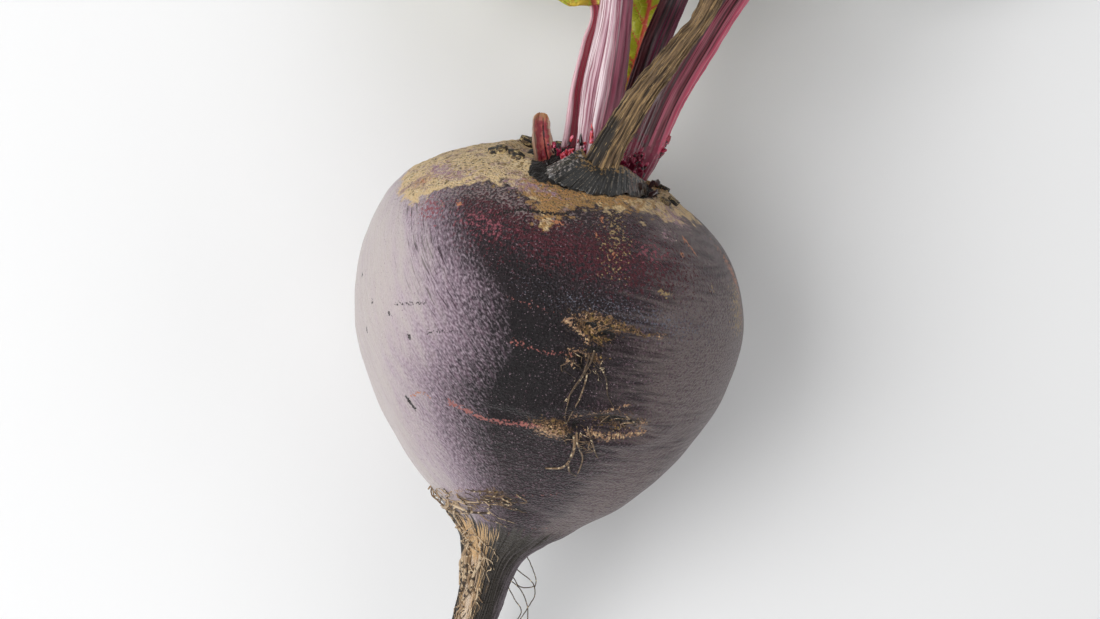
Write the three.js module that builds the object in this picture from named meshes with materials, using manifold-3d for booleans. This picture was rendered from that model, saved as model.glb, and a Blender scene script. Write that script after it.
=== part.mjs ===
// A beetroot with its leaves on, lying on its side on a table.
//
// Units are millimetres and +Z is up. The origin is the small flat spot on the belly of the root
// that it rests on. The leaves run towards +Y and the tail of the root towards -Y.
//
// The root is one body: the swollen bulb, its tail, the scarred crown and the thicker side roots.
// Each leaf is a body of its own: its stalk, the midrib that the stalk runs on into, and its blade.
import * as THREE from "three";
import Module from "manifold-3d";

const wasm = await Module();
wasm.setup();

// How the root lies: its axis is turned from +Y towards +X, and the crown is raised off the table.
const AXIS_LEAN = THREE.MathUtils.degToRad(14.5);
const AXIS_TILT = THREE.MathUtils.degToRad(12);
const BULB_HEIGHT = 41.8;

// The outline of the root from the end of the tail to the middle of the crown.
// Each pair is the distance along the axis from the middle of the bulb, and the radius there.
const ROOT_PROFILE = [
  [-134, 0], [-132.5, 0.7], [-122, 1.2], [-108, 1.9], [-94, 2.9], [-80, 4.1], [-68.5, 5.1],
  [-60, 5.9], [-53.5, 8.1], [-47, 13.7], [-41, 20], [-34.5, 26.6], [-27, 32.5], [-18, 37.8],
  [-8.5, 41.5], [2, 43.2], [12, 42.5], [20.5, 39.2], [26.5, 34.2], [31, 27.3], [33.5, 20.5],
  [34.5, 15], [36.5, 11], [38, 6], [38.5, 0],
];
const NECK = -56; // the tail is a body of few sides below this, and sinks into the bulb above it
const TAIL_START = -62; // below this the tail leaves the axis and comes down to the table
const TAIL_DROP = 0.0032;
const TAIL_SWAY = 0.0022;

// Rings and sides stand closer together where the skin changes quickly.
const RING_STEP = { tail: 9, neck: 3.5, bulb: 6.5, scar: 2.3, crown: 3.3 };
const FINE_ANGLES = [36, 112];
const ANGLE_STEP = { fine: 4.5, coarse: 11 };
const TAIL_SIDES = 14;

// Scars run across the bulb on two opposite sides, where rows of side roots broke through the skin.
// Each has its place along the axis and round it, its reach both ways, and its depth.
const SIDE_SCARS = [
  { along: 8.5, angle: 71, reach: 2.6, spread: 13, depth: 1.5 },
  { along: 3.6, angle: 79, reach: 2, spread: 5, depth: 1 },
  { along: -11.8, angle: 66, reach: 2.7, spread: 15, depth: 1.8 },
  { along: -13.6, angle: 92, reach: 1.5, spread: 11, depth: 0.5 },
  { along: -6, angle: 222, reach: 5, spread: 16, depth: 1.3 },
  { along: -22, angle: 214, reach: 4.5, spread: 15, depth: 1.4 },
];

// Raised rings that old leaf stalks left round the rim of the crown: angle, distance from the axis,
// half width and half height of the ring, and thickness of its wall.
const LEAF_SCARS = [
  [159, 21, 2.5, 2, 0.6], [141, 18.5, 2.1, 1.6, 0.6], [216, 17.5, 2.8, 1.8, 0.6],
  [250, 18, 3, 1.8, 0.6], [290, 18.5, 2.6, 1.7, 0.6], [328, 20, 2.8, 1.7, 0.6],
  [6, 21.5, 2.6, 1.6, 0.6], [30, 20, 2.2, 1.4, 0.55],
];

// The main side roots of the two scars in front, each as a run of [along, angle, height above the
// skin] with a radius. One of them goes down from the upper scar to the lower one.
const MAIN_SIDE_ROOTS = [
  { radius: 0.5, run: [[5, 75, -0.8], [1, 78, 0.5], [-4, 79.5, 0.3], [-12, 80, -0.6]] },
  { radius: 0.65, run: [[4, 79, -0.8], [0.5, 81, 0.7], [-3, 80, 0.6], [-6, 84, 0.2]] },
  { radius: 0.5, run: [[5, 72, -0.8], [0, 73.5, 0.7], [-5, 70.5, 0.2]] },
  { radius: 0.8, run: [[-12, 76, -1.2], [-16, 78, 0.9], [-19.5, 79.5, 0.6], [-23, 85, 0.4]] },
  { radius: 0.55, run: [[-13, 74, -1], [-17.5, 76, 0.8], [-20, 73, 0.9], [-24, 75, 0.3]] },
  { radius: 0.55, run: [[-12, 71, -1], [-15, 68.5, 0.8], [-18.5, 68, 0.6], [-20.5, 65, 0.2]] },
  { radius: 0.5, run: [[-10, 58, -1], [-13.5, 60, 0.7], [-17, 61, -0.2]] },
];

// Tufts of thinner side roots. Each grows from a patch with its middle at along and angle.
const TUFTS = [
  { count: 7, along: -36, reach: 3, angle: 100, spread: 20, length: 17, drift: 16, lift: 1.2, radius: 0.6 },
  { count: 6, along: -53, reach: 5, angle: 112, spread: 26, length: 16, drift: 22, lift: 1.1, radius: 0.6 },
  { count: 2, along: -57, reach: 3, angle: 12, spread: 14, length: 18, drift: 16, lift: 2.4, radius: 0.42 },
  { count: 3, along: -24, reach: 3, angle: 216, spread: 10, length: 13, drift: 8, lift: 0.7, radius: 0.5 },
  { count: 3, along: -86, reach: 12, angle: 60, spread: 70, length: 15, drift: 26, lift: 1.6, radius: 0.42 },
];
const SCAR_SIDES = 10;
const SIDE_ROOT_SIDES = 5;
const SIDE_ROOT_RINGS = 5;
const GROWTH_SEED = 11;

// The leaves. path is the line of the stalk and midrib. back is the way the ribbed underside of the
// leaf faces, at the foot and at the tip. width and depth are the stalk's at the points of the path,
// and hollow is the depth of the channel on its upper side. The blade starts part way along. Its
// half width, the fold of its two halves and the ruffle of its margins are sizes in it, and an ear is
// a lobe near the foot of its right margin. Knobs are torn scraps at the foot of the stalk.
const LEAVES = [
  {
    name: "leaf_front",
    path: [
      [6.4, 29.5, 52.5], [8.4, 37, 54.5], [10.8, 50.1, 57.5], [13.4, 66.4, 59], [14.6, 86, 57.5],
      [12.5, 106, 51], [7, 126, 42], [0, 148, 31.5], [-5, 172, 20], [-9, 198, 8], [-12, 226, -4],
    ],
    back: [[-0.1, 0, 1], [0.1, 0.15, 1]],
    width: [6.8, 7.4, 9.4, 7.4, 6.6, 6.2, 5.6, 4.4, 3.2, 2.2, 1.2],
    depth: [3.4, 3.8, 4.2, 3.8, 3.4, 3.2, 2.8, 2.2, 1.6, 1.2, 0.9],
    hollow: 1.6,
    ribs: 3,
    blade: { from: 5.5, half: 30, fold: 0.4, ruffle: 4.5, waves: 4.5, phase: 0.4, rows: 15, columns: 8 },
    colour: "#7f2140",
  },
  {
    name: "leaf_right",
    path: [
      [15.5, 27.5, 50], [19.2, 35.2, 51.2], [25, 48.2, 52.6], [31.8, 59.6, 53.4], [38.6, 70, 53.4],
      [50, 85, 51], [65, 99, 45.5], [83, 111, 37.5], [102, 121, 27.5], [122, 129, 16.5], [143, 136, 6],
      [163, 142, -4],
    ],
    back: [[0.35, -0.2, 1], [0.15, 0.2, 1]],
    width: [4.6, 8.2, 8.4, 8.4, 7.8, 6.8, 6, 4.8, 3.8, 2.8, 1.8, 1.2],
    depth: [3, 4.4, 4, 3.8, 3.6, 3.2, 2.8, 2.4, 1.9, 1.5, 1.1, 0.9],
    hollow: 1.4,
    ribs: 3,
    blade: { from: 5.3, half: 28, fold: 0.4, ruffle: 4.5, waves: 4.2, phase: 2.1, rows: 15, columns: 8, ear: 13 },
    knobs: [
      { from: [21.6, 38, 50.6], to: [26.8, 40.6, 51.2], radius: 1.9 },
      { from: [18.8, 35, 50.6], to: [23.8, 36.6, 51], radius: 1.8 },
    ],
    colour: "#84274a",
  },
  {
    name: "leaf_middle",
    path: [
      [12.2, 30, 42.5], [14.8, 38.5, 43.8], [19.2, 50.9, 45.4], [23.2, 62.2, 46.2], [27.8, 73, 44.6],
      [34, 88, 37.5], [41, 104, 26.5], [49, 122, 14.5], [57, 142, 5], [64, 165, -1], [69, 190, -4],
      [72, 216, -6],
    ],
    back: [[0.1, 0, -1], [0, -0.1, -1]],
    width: [5.4, 5.8, 5.9, 6, 5.8, 5.4, 5, 4.2, 3.4, 2.6, 1.8, 1.2],
    depth: [3, 3.2, 3.2, 3.2, 3, 2.8, 2.6, 2.2, 1.8, 1.4, 1.1, 0.9],
    hollow: 1.2,
    ribs: 3,
    blade: { from: 5.8, half: 28, fold: 0.16, ruffle: 4.5, waves: 4.5, phase: 1.2, rows: 15, columns: 8 },
    colour: "#4d1630",
  },
  {
    name: "leaf_left",
    path: [
      [1.4, 31.5, 49.4], [3.6, 39.9, 49.8], [5, 50.6, 50.8], [7.1, 60, 51.2], [9, 68.4, 50.8],
      [4, 79, 48], [-8, 89, 41], [-23, 98, 31], [-39, 106, 20], [-55, 113, 8], [-70, 119, -4],
    ],
    back: [[-0.7, 0, -0.5], [0.3, 0.1, -1]],
    width: [4.2, 3.8, 3, 2.4, 2, 1.9, 1.8, 1.6, 1.4, 1.2, 1],
    depth: [2.2, 2, 1.7, 1.5, 1.4, 1.3, 1.2, 1.1, 1, 0.9, 0.8],
    hollow: 0.3,
    ribs: 2,
    blade: { from: 4.05, half: 17, fold: 0.3, ruffle: 3, waves: 4.5, phase: 3.4, rows: 14, columns: 6 },
    colour: "#a8415c",
  },
  {
    name: "leaf_young",
    path: [
      [9.6, 32, 40.5], [12.6, 41, 40], [16.8, 52, 39.8], [19.4, 61.5, 40], [21.6, 71, 39.6],
      [22.6, 82, 37.6], [22, 93, 34], [20, 104, 29],
    ],
    back: [[0.1, 0, -1], [0, -0.2, -1]],
    width: [2, 1.8, 1.8, 1.8, 1.7, 1.4, 1.1, 0.9],
    depth: [1.4, 1.3, 1.2, 1.2, 1.1, 1, 0.9, 0.8],
    hollow: 0.2,
    ribs: 2,
    blade: { from: 1.6, half: 5.2, fold: 0.25, ruffle: 1.3, waves: 4, phase: 0.9, rows: 14, columns: 4 },
    colour: "#d8604f",
  },
];
const STALK_SIDES = 12;
const BLADE_THICKNESS = 0.8;
const BLADE_SINK = 0.12; // how much of a blade's thickness is flattened where it lies on the table

// The stalk of a dead leaf: a flat, twisted ribbon whose foot spreads over the front of the crown.
const DRIED_STALK = {
  name: "dried_stalk",
  path: [
    [8, 19.5, 64.8], [8, 25, 65.4], [9.4, 31, 66], [12, 36.8, 66], [14.8, 41.6, 66],
    [18, 46.8, 65.6], [21.9, 52, 65.2], [27, 58.6, 65], [31.2, 63.8, 65.2], [34, 69, 65.4],
    [38, 77, 64.6], [43, 86, 62], [49, 94, 57.6], [56, 100, 53],
  ],
  back: [[0.15, -0.2, 1], [-0.2, 0.5, 1]],
  width: [27, 21, 10, 7, 6.4, 6, 5.6, 5, 4.2, 5, 4.6, 5.4, 4.4, 1.4],
  depth: [7, 5.6, 2.6, 1.8, 1.6, 1.4, 1.3, 1.3, 1.4, 1.3, 1.2, 1.1, 1, 0.8],
  hollow: 0.5,
  ribs: 2,
  colour: "#7a6140",
};

// What is left of a stalk that was cut off: a short, hollowed stump on the left of the crown.
const STUMP = {
  name: "cut_stump",
  path: [[-0.8, 29, 56.5], [-1.7, 33.5, 57], [-2.4, 37.5, 57.4], [-2.8, 41.5, 57.6], [-2.6, 45, 57.6]],
  back: [[-0.7, 0, -0.75], [-0.7, 0, -0.75]],
  width: [5, 5.6, 5.4, 5, 3.6],
  depth: [2.6, 2.6, 2.3, 1.9, 1.4],
  hollow: 1.7,
  ribs: 2,
  colour: "#8d4a52",
};

// The red buds of new leaves, packed between the stalks: foot, point and thickness of each.
const BUDS = [
  { from: [2.2, 30, 55], to: [3.2, 37, 58.4], radius: 2.4 },
  { from: [5, 29, 57], to: [5.6, 38.4, 61], radius: 2.2 },
  { from: [8, 30, 58], to: [8.6, 41.6, 62.2], radius: 1.7 },
  { from: [-0.5, 29.5, 51.5], to: [1, 36.5, 54.6], radius: 2.2 },
];
const BUD_SIDES = 9;

const GAP = 0.3; // between pieces that touch
const SHORTEST_EDGE = 0.03; // joining and cutting leaves slivers, and edges under this are closed up
const ROOT_COLOUR = "#3f2430";
const BUD_COLOUR = "#9c1f3c";

// The root's own directions: along the axis to the crown, across it to the right, and away from the table.
const CROWNWARD = new THREE.Vector3(
  Math.sin(AXIS_LEAN) * Math.cos(AXIS_TILT),
  Math.cos(AXIS_LEAN) * Math.cos(AXIS_TILT),
  Math.sin(AXIS_TILT),
);
const ACROSS = new THREE.Vector3(Math.cos(AXIS_LEAN), -Math.sin(AXIS_LEAN), 0);
const UPWARD = new THREE.Vector3().crossVectors(ACROSS, CROWNWARD);
const BULB_CENTRE = new THREE.Vector3(0, 0, BULB_HEIGHT);

const smooth = (x, low, high) => THREE.MathUtils.smoothstep(x, low, high);
const bell = (x, middle, width) => Math.exp(-(((x - middle) / width) ** 2));

// The shortest way round from one angle to another, in degrees.
function turn(from, to) {
  return ((to - from + 540) % 360) - 180;
}

// A height that comes down to the table and then runs level instead of passing through it.
function settle(height, softness = 3) {
  return (height + Math.hypot(height, softness)) / 2;
}

// A value from a list with one entry for each point of a path, eased between them.
function along(list, place) {
  const i = Math.min(Math.floor(place), list.length - 2);
  return THREE.MathUtils.lerp(list[i], list[i + 1], place - i);
}

// A closed solid from a grid of rings with the same number of points, and its two ends filled in.
function solidOfRings(rings) {
  const sides = rings[0].length;
  const points = rings.flat();
  const faces = [];
  for (let r = 0; r + 1 < rings.length; r += 1) {
    for (let s = 0; s < sides; s += 1) {
      const a = r * sides + s;
      const b = r * sides + ((s + 1) % sides);
      faces.push(a, b, b + sides, a, b + sides, a + sides);
    }
  }
  for (const [ring, start, flip] of [[rings[0], 0, true], [rings.at(-1), (rings.length - 1) * sides, false]]) {
    const middle = points.length;
    points.push(ring.reduce((sum, p) => sum.add(p), new THREE.Vector3()).divideScalar(sides));
    for (let s = 0; s < sides; s += 1) {
      const a = start + s;
      const b = start + ((s + 1) % sides);
      faces.push(...(flip ? [middle, b, a] : [middle, a, b]));
    }
  }
  return solidOf(points, faces);
}

// A closed solid from rings that go round and join the first one again.
function closedLoop(rings) {
  const sides = rings[0].length;
  const faces = [];
  for (let r = 0; r < rings.length; r += 1) {
    const next = ((r + 1) % rings.length) * sides;
    for (let s = 0; s < sides; s += 1) {
      const [a, b] = [s, (s + 1) % sides];
      faces.push(r * sides + a, r * sides + b, next + b, r * sides + a, next + b, next + a);
    }
  }
  return solidOf(rings.flat(), faces);
}

// A solid from points and triangles. If the faces point inwards they are turned round.
function solidOf(points, faces) {
  const vertProperties = new Float32Array(points.flatMap((p) => p.toArray()));
  const make = (triVerts) => new wasm.Manifold(new wasm.Mesh({ numProp: 3, vertProperties, triVerts }));
  const made = make(new Uint32Array(faces));
  return made.volume() > 0 ? made : make(new Uint32Array(faces.slice().reverse()));
}

// How far the skin of the root stands out of its plain outline, at a place along and round it.
function rootRelief(alongAxis, radius, degrees) {
  const onBulb = smooth(alongAxis, -52, -30) * smooth(radius, 12, 30);
  let height = onBulb * 0.35 * Math.sin(THREE.MathUtils.degToRad(3 * degrees + 40));
  height += onBulb * 0.3 * Math.sin(THREE.MathUtils.degToRad(5 * degrees + 200));
  height += onBulb * 0.8 * bell(turn(182, degrees), 0, 30) * bell(alongAxis, -14, 24);
  height -= 1.1 * bell(turn(185, degrees), 0, 36) * bell(alongAxis, 27, 7);
  // A soft rib runs up from the tail on the right, and a lower one on the left.
  height += 1.1 * bell(turn(30, degrees), 0, 11) * bell(alongAxis, -30, 13);
  height -= 0.7 * bell(turn(52, degrees), 0, 10) * bell(alongAxis, -30, 12);
  height += 0.6 * bell(turn(138, degrees), 0, 8) * bell(alongAxis, -28, 14);
  for (const scar of SIDE_SCARS) {
    const distance = Math.hypot(turn(scar.angle, degrees) / scar.spread, (alongAxis - scar.along) / scar.reach);
    height += scar.depth * (0.35 * bell(distance, 1.4, 0.4) - bell(distance, 0, 0.8));
  }
  // The rim of the crown is a low wall, and the middle of the crown is a little hollow.
  height += smooth(alongAxis, 28, 33) * (0.9 * bell(radius, 19, 2.6) - 0.7 * bell(radius, 13.5, 3));
  return height * smooth(radius, 0, 4);
}

// A point of the root. place runs from 0 at the end of the tail to 1 at the middle of the crown.
const rootOutline = new THREE.SplineCurve(ROOT_PROFILE.map(([x, y]) => new THREE.Vector2(x, y)));
function rootPoint(place, degrees, grow = 0) {
  const on = rootOutline.getPoint(place);
  const tangent = rootOutline.getTangent(place);
  const height = rootRelief(on.x, on.y, degrees) + grow;
  const radius = Math.max(0, on.y + height * tangent.x);
  const angle = THREE.MathUtils.degToRad(degrees);
  const tail = Math.max(0, TAIL_START - on.x) ** 2;
  let across = radius * Math.cos(angle);
  // The left shoulder stands higher than the right one.
  const axis = on.x - height * tangent.y - 0.085 * across * smooth(on.x, -5, 25);
  // The bulb bows a little to the left, and the neck a little to the right.
  across += 0.8 * bell(on.x, -47, 6) - 1.5 * bell(on.x, 6, 30) - TAIL_SWAY * tail;
  const point = BULB_CENTRE.clone()
    .addScaledVector(CROWNWARD, axis)
    .addScaledVector(ACROSS, across)
    .addScaledVector(UPWARD, -TAIL_DROP * tail);
  // The end of the tail lies along the table.
  if (tail > 0) point.z = on.y + settle(point.z - on.y, 2);
  return point.addScaledVector(UPWARD, radius * Math.sin(angle));
}

// The place on the outline, from 0 to 1, that lies at a distance along the axis.
function placeAt(alongAxis) {
  const i = ROOT_PROFILE.findIndex(([x]) => x >= alongAxis);
  const [low, high] = [ROOT_PROFILE[i - 1][0], ROOT_PROFILE[i][0]];
  return (i - 1 + (alongAxis - low) / (high - low)) / (ROOT_PROFILE.length - 1);
}

// How far apart the rings are at a distance along the axis.
function ringStep(alongAxis) {
  const atScar = SIDE_SCARS.some((scar) => scar.reach < 4 && Math.abs(alongAxis - scar.along) < 1.9 * scar.reach);
  if (atScar) return RING_STEP.scar;
  if (alongAxis > 24) return RING_STEP.crown;
  if (alongAxis > NECK + 12) return RING_STEP.bulb;
  return alongAxis > NECK - 8 ? RING_STEP.neck : RING_STEP.tail;
}

// The places of the rings from one place on the outline to another.
function ringPlaces(from, to) {
  const places = [from];
  let last = rootOutline.getPoint(from);
  for (let place = from; place < to; place += 5e-4) {
    const point = rootOutline.getPoint(place);
    if (point.distanceTo(last) < ringStep(point.x)) continue;
    places.push(place);
    last = point;
  }
  places.push(to);
  return places;
}

function rootBody(grow = 0) {
  const angles = [];
  for (let degrees = 0; degrees < 359; ) {
    angles.push(degrees);
    degrees += degrees >= FINE_ANGLES[0] && degrees < FINE_ANGLES[1] ? ANGLE_STEP.fine : ANGLE_STEP.coarse;
  }
  const tailAngles = Array.from({ length: TAIL_SIDES }, (_, s) => (360 * s) / TAIL_SIDES);
  const ringsOf = (places, degrees) => places.map((place) => degrees.map((angle) => rootPoint(place, angle, grow)));
  const tail = ringsOf(ringPlaces(0.001, placeAt(NECK + 1.5)), tailAngles);
  const bulb = ringsOf(ringPlaces(placeAt(NECK), 0.992), angles);
  return solidOfRings(tail).add(solidOfRings(bulb));
}

// A random number from 0 to 1 that is the same each time the part is built.
let seed = GROWTH_SEED;
function random() {
  seed = (seed * 16807) % 2147483647;
  return (seed % 100000) / 100000;
}

// The runs of a tuft of side roots. Each starts under the skin and wanders down towards the tail.
function tuftRuns({ count, along: middle, reach, angle, spread, length, drift, lift, radius }) {
  const between = (low, high) => low + (high - low) * random();
  return Array.from({ length: count }, () => {
    const start = middle + between(-reach, reach);
    const from = angle + between(-spread, spread);
    const long = length * between(0.6, 1);
    const bend = [drift * between(-1, 1), drift * between(-1, 1), drift * between(-1, 1)];
    return {
      radius: radius * between(0.75, 1.1),
      run: [
        [start, from, -1],
        [start - long * 0.25, from + bend[0] * 0.4, lift * between(0.5, 1)],
        [start - long * 0.6, from + bend[0] * 0.7 + bend[1] * 0.5, lift * between(0.3, 1)],
        [start - long, from + bend[1] * 0.8 + bend[2] * 0.6, lift * between(-0.3, 0.6)],
      ],
    };
  });
}

// A tube of few sides along a line, with a radius that falls towards its end.
function tube(line, rings, sides, radiusAt) {
  return solidOfRings(
    Array.from({ length: rings }, (_, i) => {
      const share = i / (rings - 1);
      const away = line.getTangent(share);
      const side = new THREE.Vector3().crossVectors(away, UPWARD).normalize();
      const up = new THREE.Vector3().crossVectors(side, away);
      return Array.from({ length: sides }, (_, s) => {
        const angle = (2 * Math.PI * s) / sides;
        return line
          .getPoint(share)
          .addScaledVector(side, radiusAt(share) * Math.cos(angle))
          .addScaledVector(up, radiusAt(share) * Math.sin(angle));
      });
    }),
  );
}

function sideRoot({ radius, run }) {
  const points = run.map(([alongAxis, angle, height]) => rootPoint(placeAt(alongAxis), angle, height));
  const line = new THREE.CatmullRomCurve3(points, false, "catmullrom");
  return tube(line, SIDE_ROOT_RINGS, SIDE_ROOT_SIDES, (share) => radius * (1 - 0.45 * share));
}

// The raised ring of an old leaf's scar, half sunk in the skin of the crown.
function leafScar([angle, distance, halfWidth, halfHeight, wall]) {
  const place = placeOnCrown(distance);
  const step = 0.5;
  const middle = rootPoint(place, angle);
  const aside = rootPoint(place, angle + step).sub(rootPoint(place, angle - step)).normalize();
  const inward = rootPoint(place + 0.004, angle).sub(rootPoint(place - 0.004, angle)).normalize();
  const out = new THREE.Vector3().crossVectors(aside, inward).normalize();
  const rings = Array.from({ length: SCAR_SIDES }, (_, i) => {
    const round = (2 * Math.PI * i) / SCAR_SIDES;
    const ring = middle
      .clone()
      .addScaledVector(aside, halfWidth * Math.cos(round))
      .addScaledVector(inward, halfHeight * Math.sin(round));
    const away = ring.clone().sub(middle).normalize();
    return Array.from({ length: 4 }, (_, s) => {
      const turned = (2 * Math.PI * (s + 0.5)) / 4;
      return ring
        .clone()
        .addScaledVector(away, wall * Math.cos(turned))
        .addScaledVector(out, wall * Math.sin(turned));
    });
  });
  return closedLoop(rings);
}

// The place on the outline of the crown at a distance from the axis.
function placeOnCrown(distance) {
  let place = placeAt(26.5);
  while (rootOutline.getPoint(place).y > distance) place += 0.001;
  return place;
}

// Where a leaf's line is at a place counted in points of its path, with the directions there:
// along the stalk, across it, and out of the leaf's back.
function leafFrame(leaf, place) {
  const share = place / (leaf.path.length - 1);
  leaf.line ??= new THREE.CatmullRomCurve3(
    leaf.path.map((p) => new THREE.Vector3(...p)),
    false,
    "catmullrom",
  );
  const middle = leaf.line.getPoint(share);
  const away = leaf.line.getTangent(share);
  const back = new THREE.Vector3(...leaf.back[0]).lerp(new THREE.Vector3(...leaf.back[1]), share);
  back.addScaledVector(away, -away.dot(back)).normalize();
  const side = new THREE.Vector3().crossVectors(away, back);
  return { middle, side, back };
}

// The places of a stalk's rings: one at each point of its path, and on a leaf one between them too
// as far as the blade.
function stalkPlaces(leaf) {
  const last = leaf.path.length - 1;
  const places = [];
  for (let place = 0; place <= last; place += leaf.blade && place < leaf.blade.from ? 0.5 : 1) places.push(place);
  if (places.at(-1) < last) places.push(last);
  return places;
}

// A stalk, ribbed and rounded on its back and channelled on its upper side.
function stalk(leaf, grow = 0) {
  return solidOfRings(
    stalkPlaces(leaf).map((place) => {
      const { middle, side, back } = leafFrame(leaf, place);
      const half = along(leaf.width, place) / 2;
      const deep = along(leaf.depth, place);
      const hollow = Math.min(leaf.hollow, deep * 0.6);
      return Array.from({ length: STALK_SIDES }, (_, s) => {
        const angle = (2 * Math.PI * s) / STALK_SIDES;
        const rise = Math.sin(angle);
        const rib = 1 + 0.06 * Math.cos(leaf.ribs * 2 * angle);
        const out = rise > 0 ? (deep * rib + grow) * rise : hollow * rise ** 2 + (0.32 * deep + grow) * rise;
        return middle
          .clone()
          .addScaledVector(side, (half + grow) * Math.cos(angle))
          .addScaledVector(back, out - deep * 0.3);
      });
    }),
  );
}

// The middle layer of a blade. s runs from its foot to its tip and v from one margin to the other.
function bladePoint(leaf, s, v) {
  const { from, half, fold, ruffle, waves, phase, ear = 0 } = leaf.blade;
  const { middle, side, back } = leafFrame(leaf, THREE.MathUtils.lerp(from, leaf.path.length - 1, s));
  const outline = Math.sin(Math.PI * (0.03 + 0.96 * s) ** 0.66) ** 0.8;
  const lobes = 1 + 0.05 * Math.sin(25 * s + phase + Math.sign(v));
  const reach = Math.max(0.6, half * outline * lobes) + (v < 0 ? ear * bell(s, 0.11, 0.045) : 0);
  const margin = Math.abs(v);
  const wave = ruffle * outline * margin ** 1.7 * Math.sin(2 * Math.PI * waves * s + phase + 1.9 * Math.sign(v));
  const point = middle
    .addScaledVector(side, v * reach)
    .addScaledVector(back, -(fold * reach * margin ** 1.25 + wave));
  point.z = settle(point.z) + BLADE_THICKNESS / 2 - BLADE_SINK;
  return point;
}

function blade(leaf, grow = 0) {
  const { rows, columns } = leaf.blade;
  const across = columns + 1;
  const layer = [];
  for (let r = 0; r <= rows; r += 1) {
    for (let c = 0; c <= columns; c += 1) {
      const [s, v] = [r / rows, -1 + (2 * c) / columns];
      const step = 1e-3;
      const lengthways = bladePoint(leaf, Math.min(1, s + step), v).sub(bladePoint(leaf, Math.max(0, s - step), v));
      const widthways = bladePoint(leaf, s, Math.min(1, v + step)).sub(bladePoint(leaf, s, Math.max(-1, v - step)));
      layer.push({ point: bladePoint(leaf, s, v), normal: lengthways.cross(widthways).normalize() });
    }
  }
  const half = BLADE_THICKNESS / 2 + grow;
  const top = layer.map(({ point, normal }) => point.clone().addScaledVector(normal, half));
  const bottom = layer.map(({ point, normal }) => point.clone().addScaledVector(normal, -half));
  const faces = [];
  const under = layer.length;
  for (let r = 0; r < rows; r += 1) {
    for (let c = 0; c < columns; c += 1) {
      const a = r * across + c;
      const [b, d, e] = [a + 1, a + across, a + across + 1];
      faces.push(a, b, e, a, e, d, under + a, under + e, under + b, under + a, under + d, under + e);
    }
  }
  const rim = [];
  for (let c = 0; c <= columns; c += 1) rim.push(c);
  for (let r = 1; r <= rows; r += 1) rim.push(r * across + columns);
  for (let c = columns - 1; c >= 0; c -= 1) rim.push(rows * across + c);
  for (let r = rows - 1; r >= 1; r -= 1) rim.push(r * across);
  rim.forEach((a, i) => {
    const b = rim[(i + 1) % rim.length];
    faces.push(b, a, under + a, b, under + a, under + b);
  });
  return solidOf([...top, ...bottom], faces);
}

function bud({ from, to, radius }) {
  const line = new THREE.LineCurve3(new THREE.Vector3(...from), new THREE.Vector3(...to));
  return tube(line, 5, BUD_SIDES, (share) => radius * Math.max(0.06, 0.85 * (1 - share ** 2) ** 0.8 + 0.4 * share * (1 - share)));
}

const union = (solids) => solids.reduce((whole, piece) => whole.add(piece));
const ABOVE_TABLE = [[0, 0, 1], 0];

// The largest body of a solid. Cutting a foot to fit its neighbours can leave crumbs.
function largest(solid) {
  return solid.decompose().reduce((best, body) => (body.volume() > best.volume() ? body : best));
}

// A mesh with flat faces from a solid.
function meshOf(name, solid, colour, roughness) {
  const { vertProperties, triVerts } = solid.asOriginal().simplify(SHORTEST_EDGE).getMesh();
  const geometry = new THREE.BufferGeometry()
    .setAttribute("position", new THREE.BufferAttribute(vertProperties, 3))
    .setIndex(new THREE.BufferAttribute(triVerts, 1))
    .toNonIndexed();
  geometry.computeVertexNormals();
  const mesh = new THREE.Mesh(geometry, new THREE.MeshStandardMaterial({ color: colour, roughness, metalness: 0 }));
  mesh.name = name;
  return mesh;
}

const beetroot = new THREE.Group();

// The root keeps its shape, and every foot is cut to it and to the feet placed before, with a gap.
const sideRoots = [...MAIN_SIDE_ROOTS, ...TUFTS.flatMap(tuftRuns)].map(sideRoot);
const root = union([rootBody(), ...sideRoots, ...LEAF_SCARS.map(leafScar)]).trimByPlane(...ABOVE_TABLE);
beetroot.add(meshOf("root", largest(root), ROOT_COLOUR, 0.5));

const placed = [rootBody(GAP)];
const fit = (solid) => largest(placed.reduce((rest, other) => rest.subtract(other), solid));

for (const old of [DRIED_STALK, STUMP]) {
  beetroot.add(meshOf(old.name, fit(stalk(old)), old.colour, 0.8));
  placed.push(stalk(old, GAP));
}
for (const leaf of LEAVES) {
  const whole = union([stalk(leaf), blade(leaf), ...(leaf.knobs ?? []).map(bud)]);
  beetroot.add(meshOf(leaf.name, fit(whole).trimByPlane(...ABOVE_TABLE), leaf.colour, 0.45));
  placed.push(stalk(leaf, GAP));
}
beetroot.add(meshOf("buds", fit(union(BUDS.map(bud))), BUD_COLOUR, 0.4));

export default beetroot;
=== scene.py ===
# %% [markdown]
# A whole beetroot, lying on its side on a white table and seen from straight above.
#
# The script is read from top to bottom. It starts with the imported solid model, which fixes every size
# and place, and makes for each solid a finer piece of the same form with the finish of the real thing.
# Sizes are written in millimetres and turned to metres where they meet Blender.

# %% Load the solid model
import math

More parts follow.
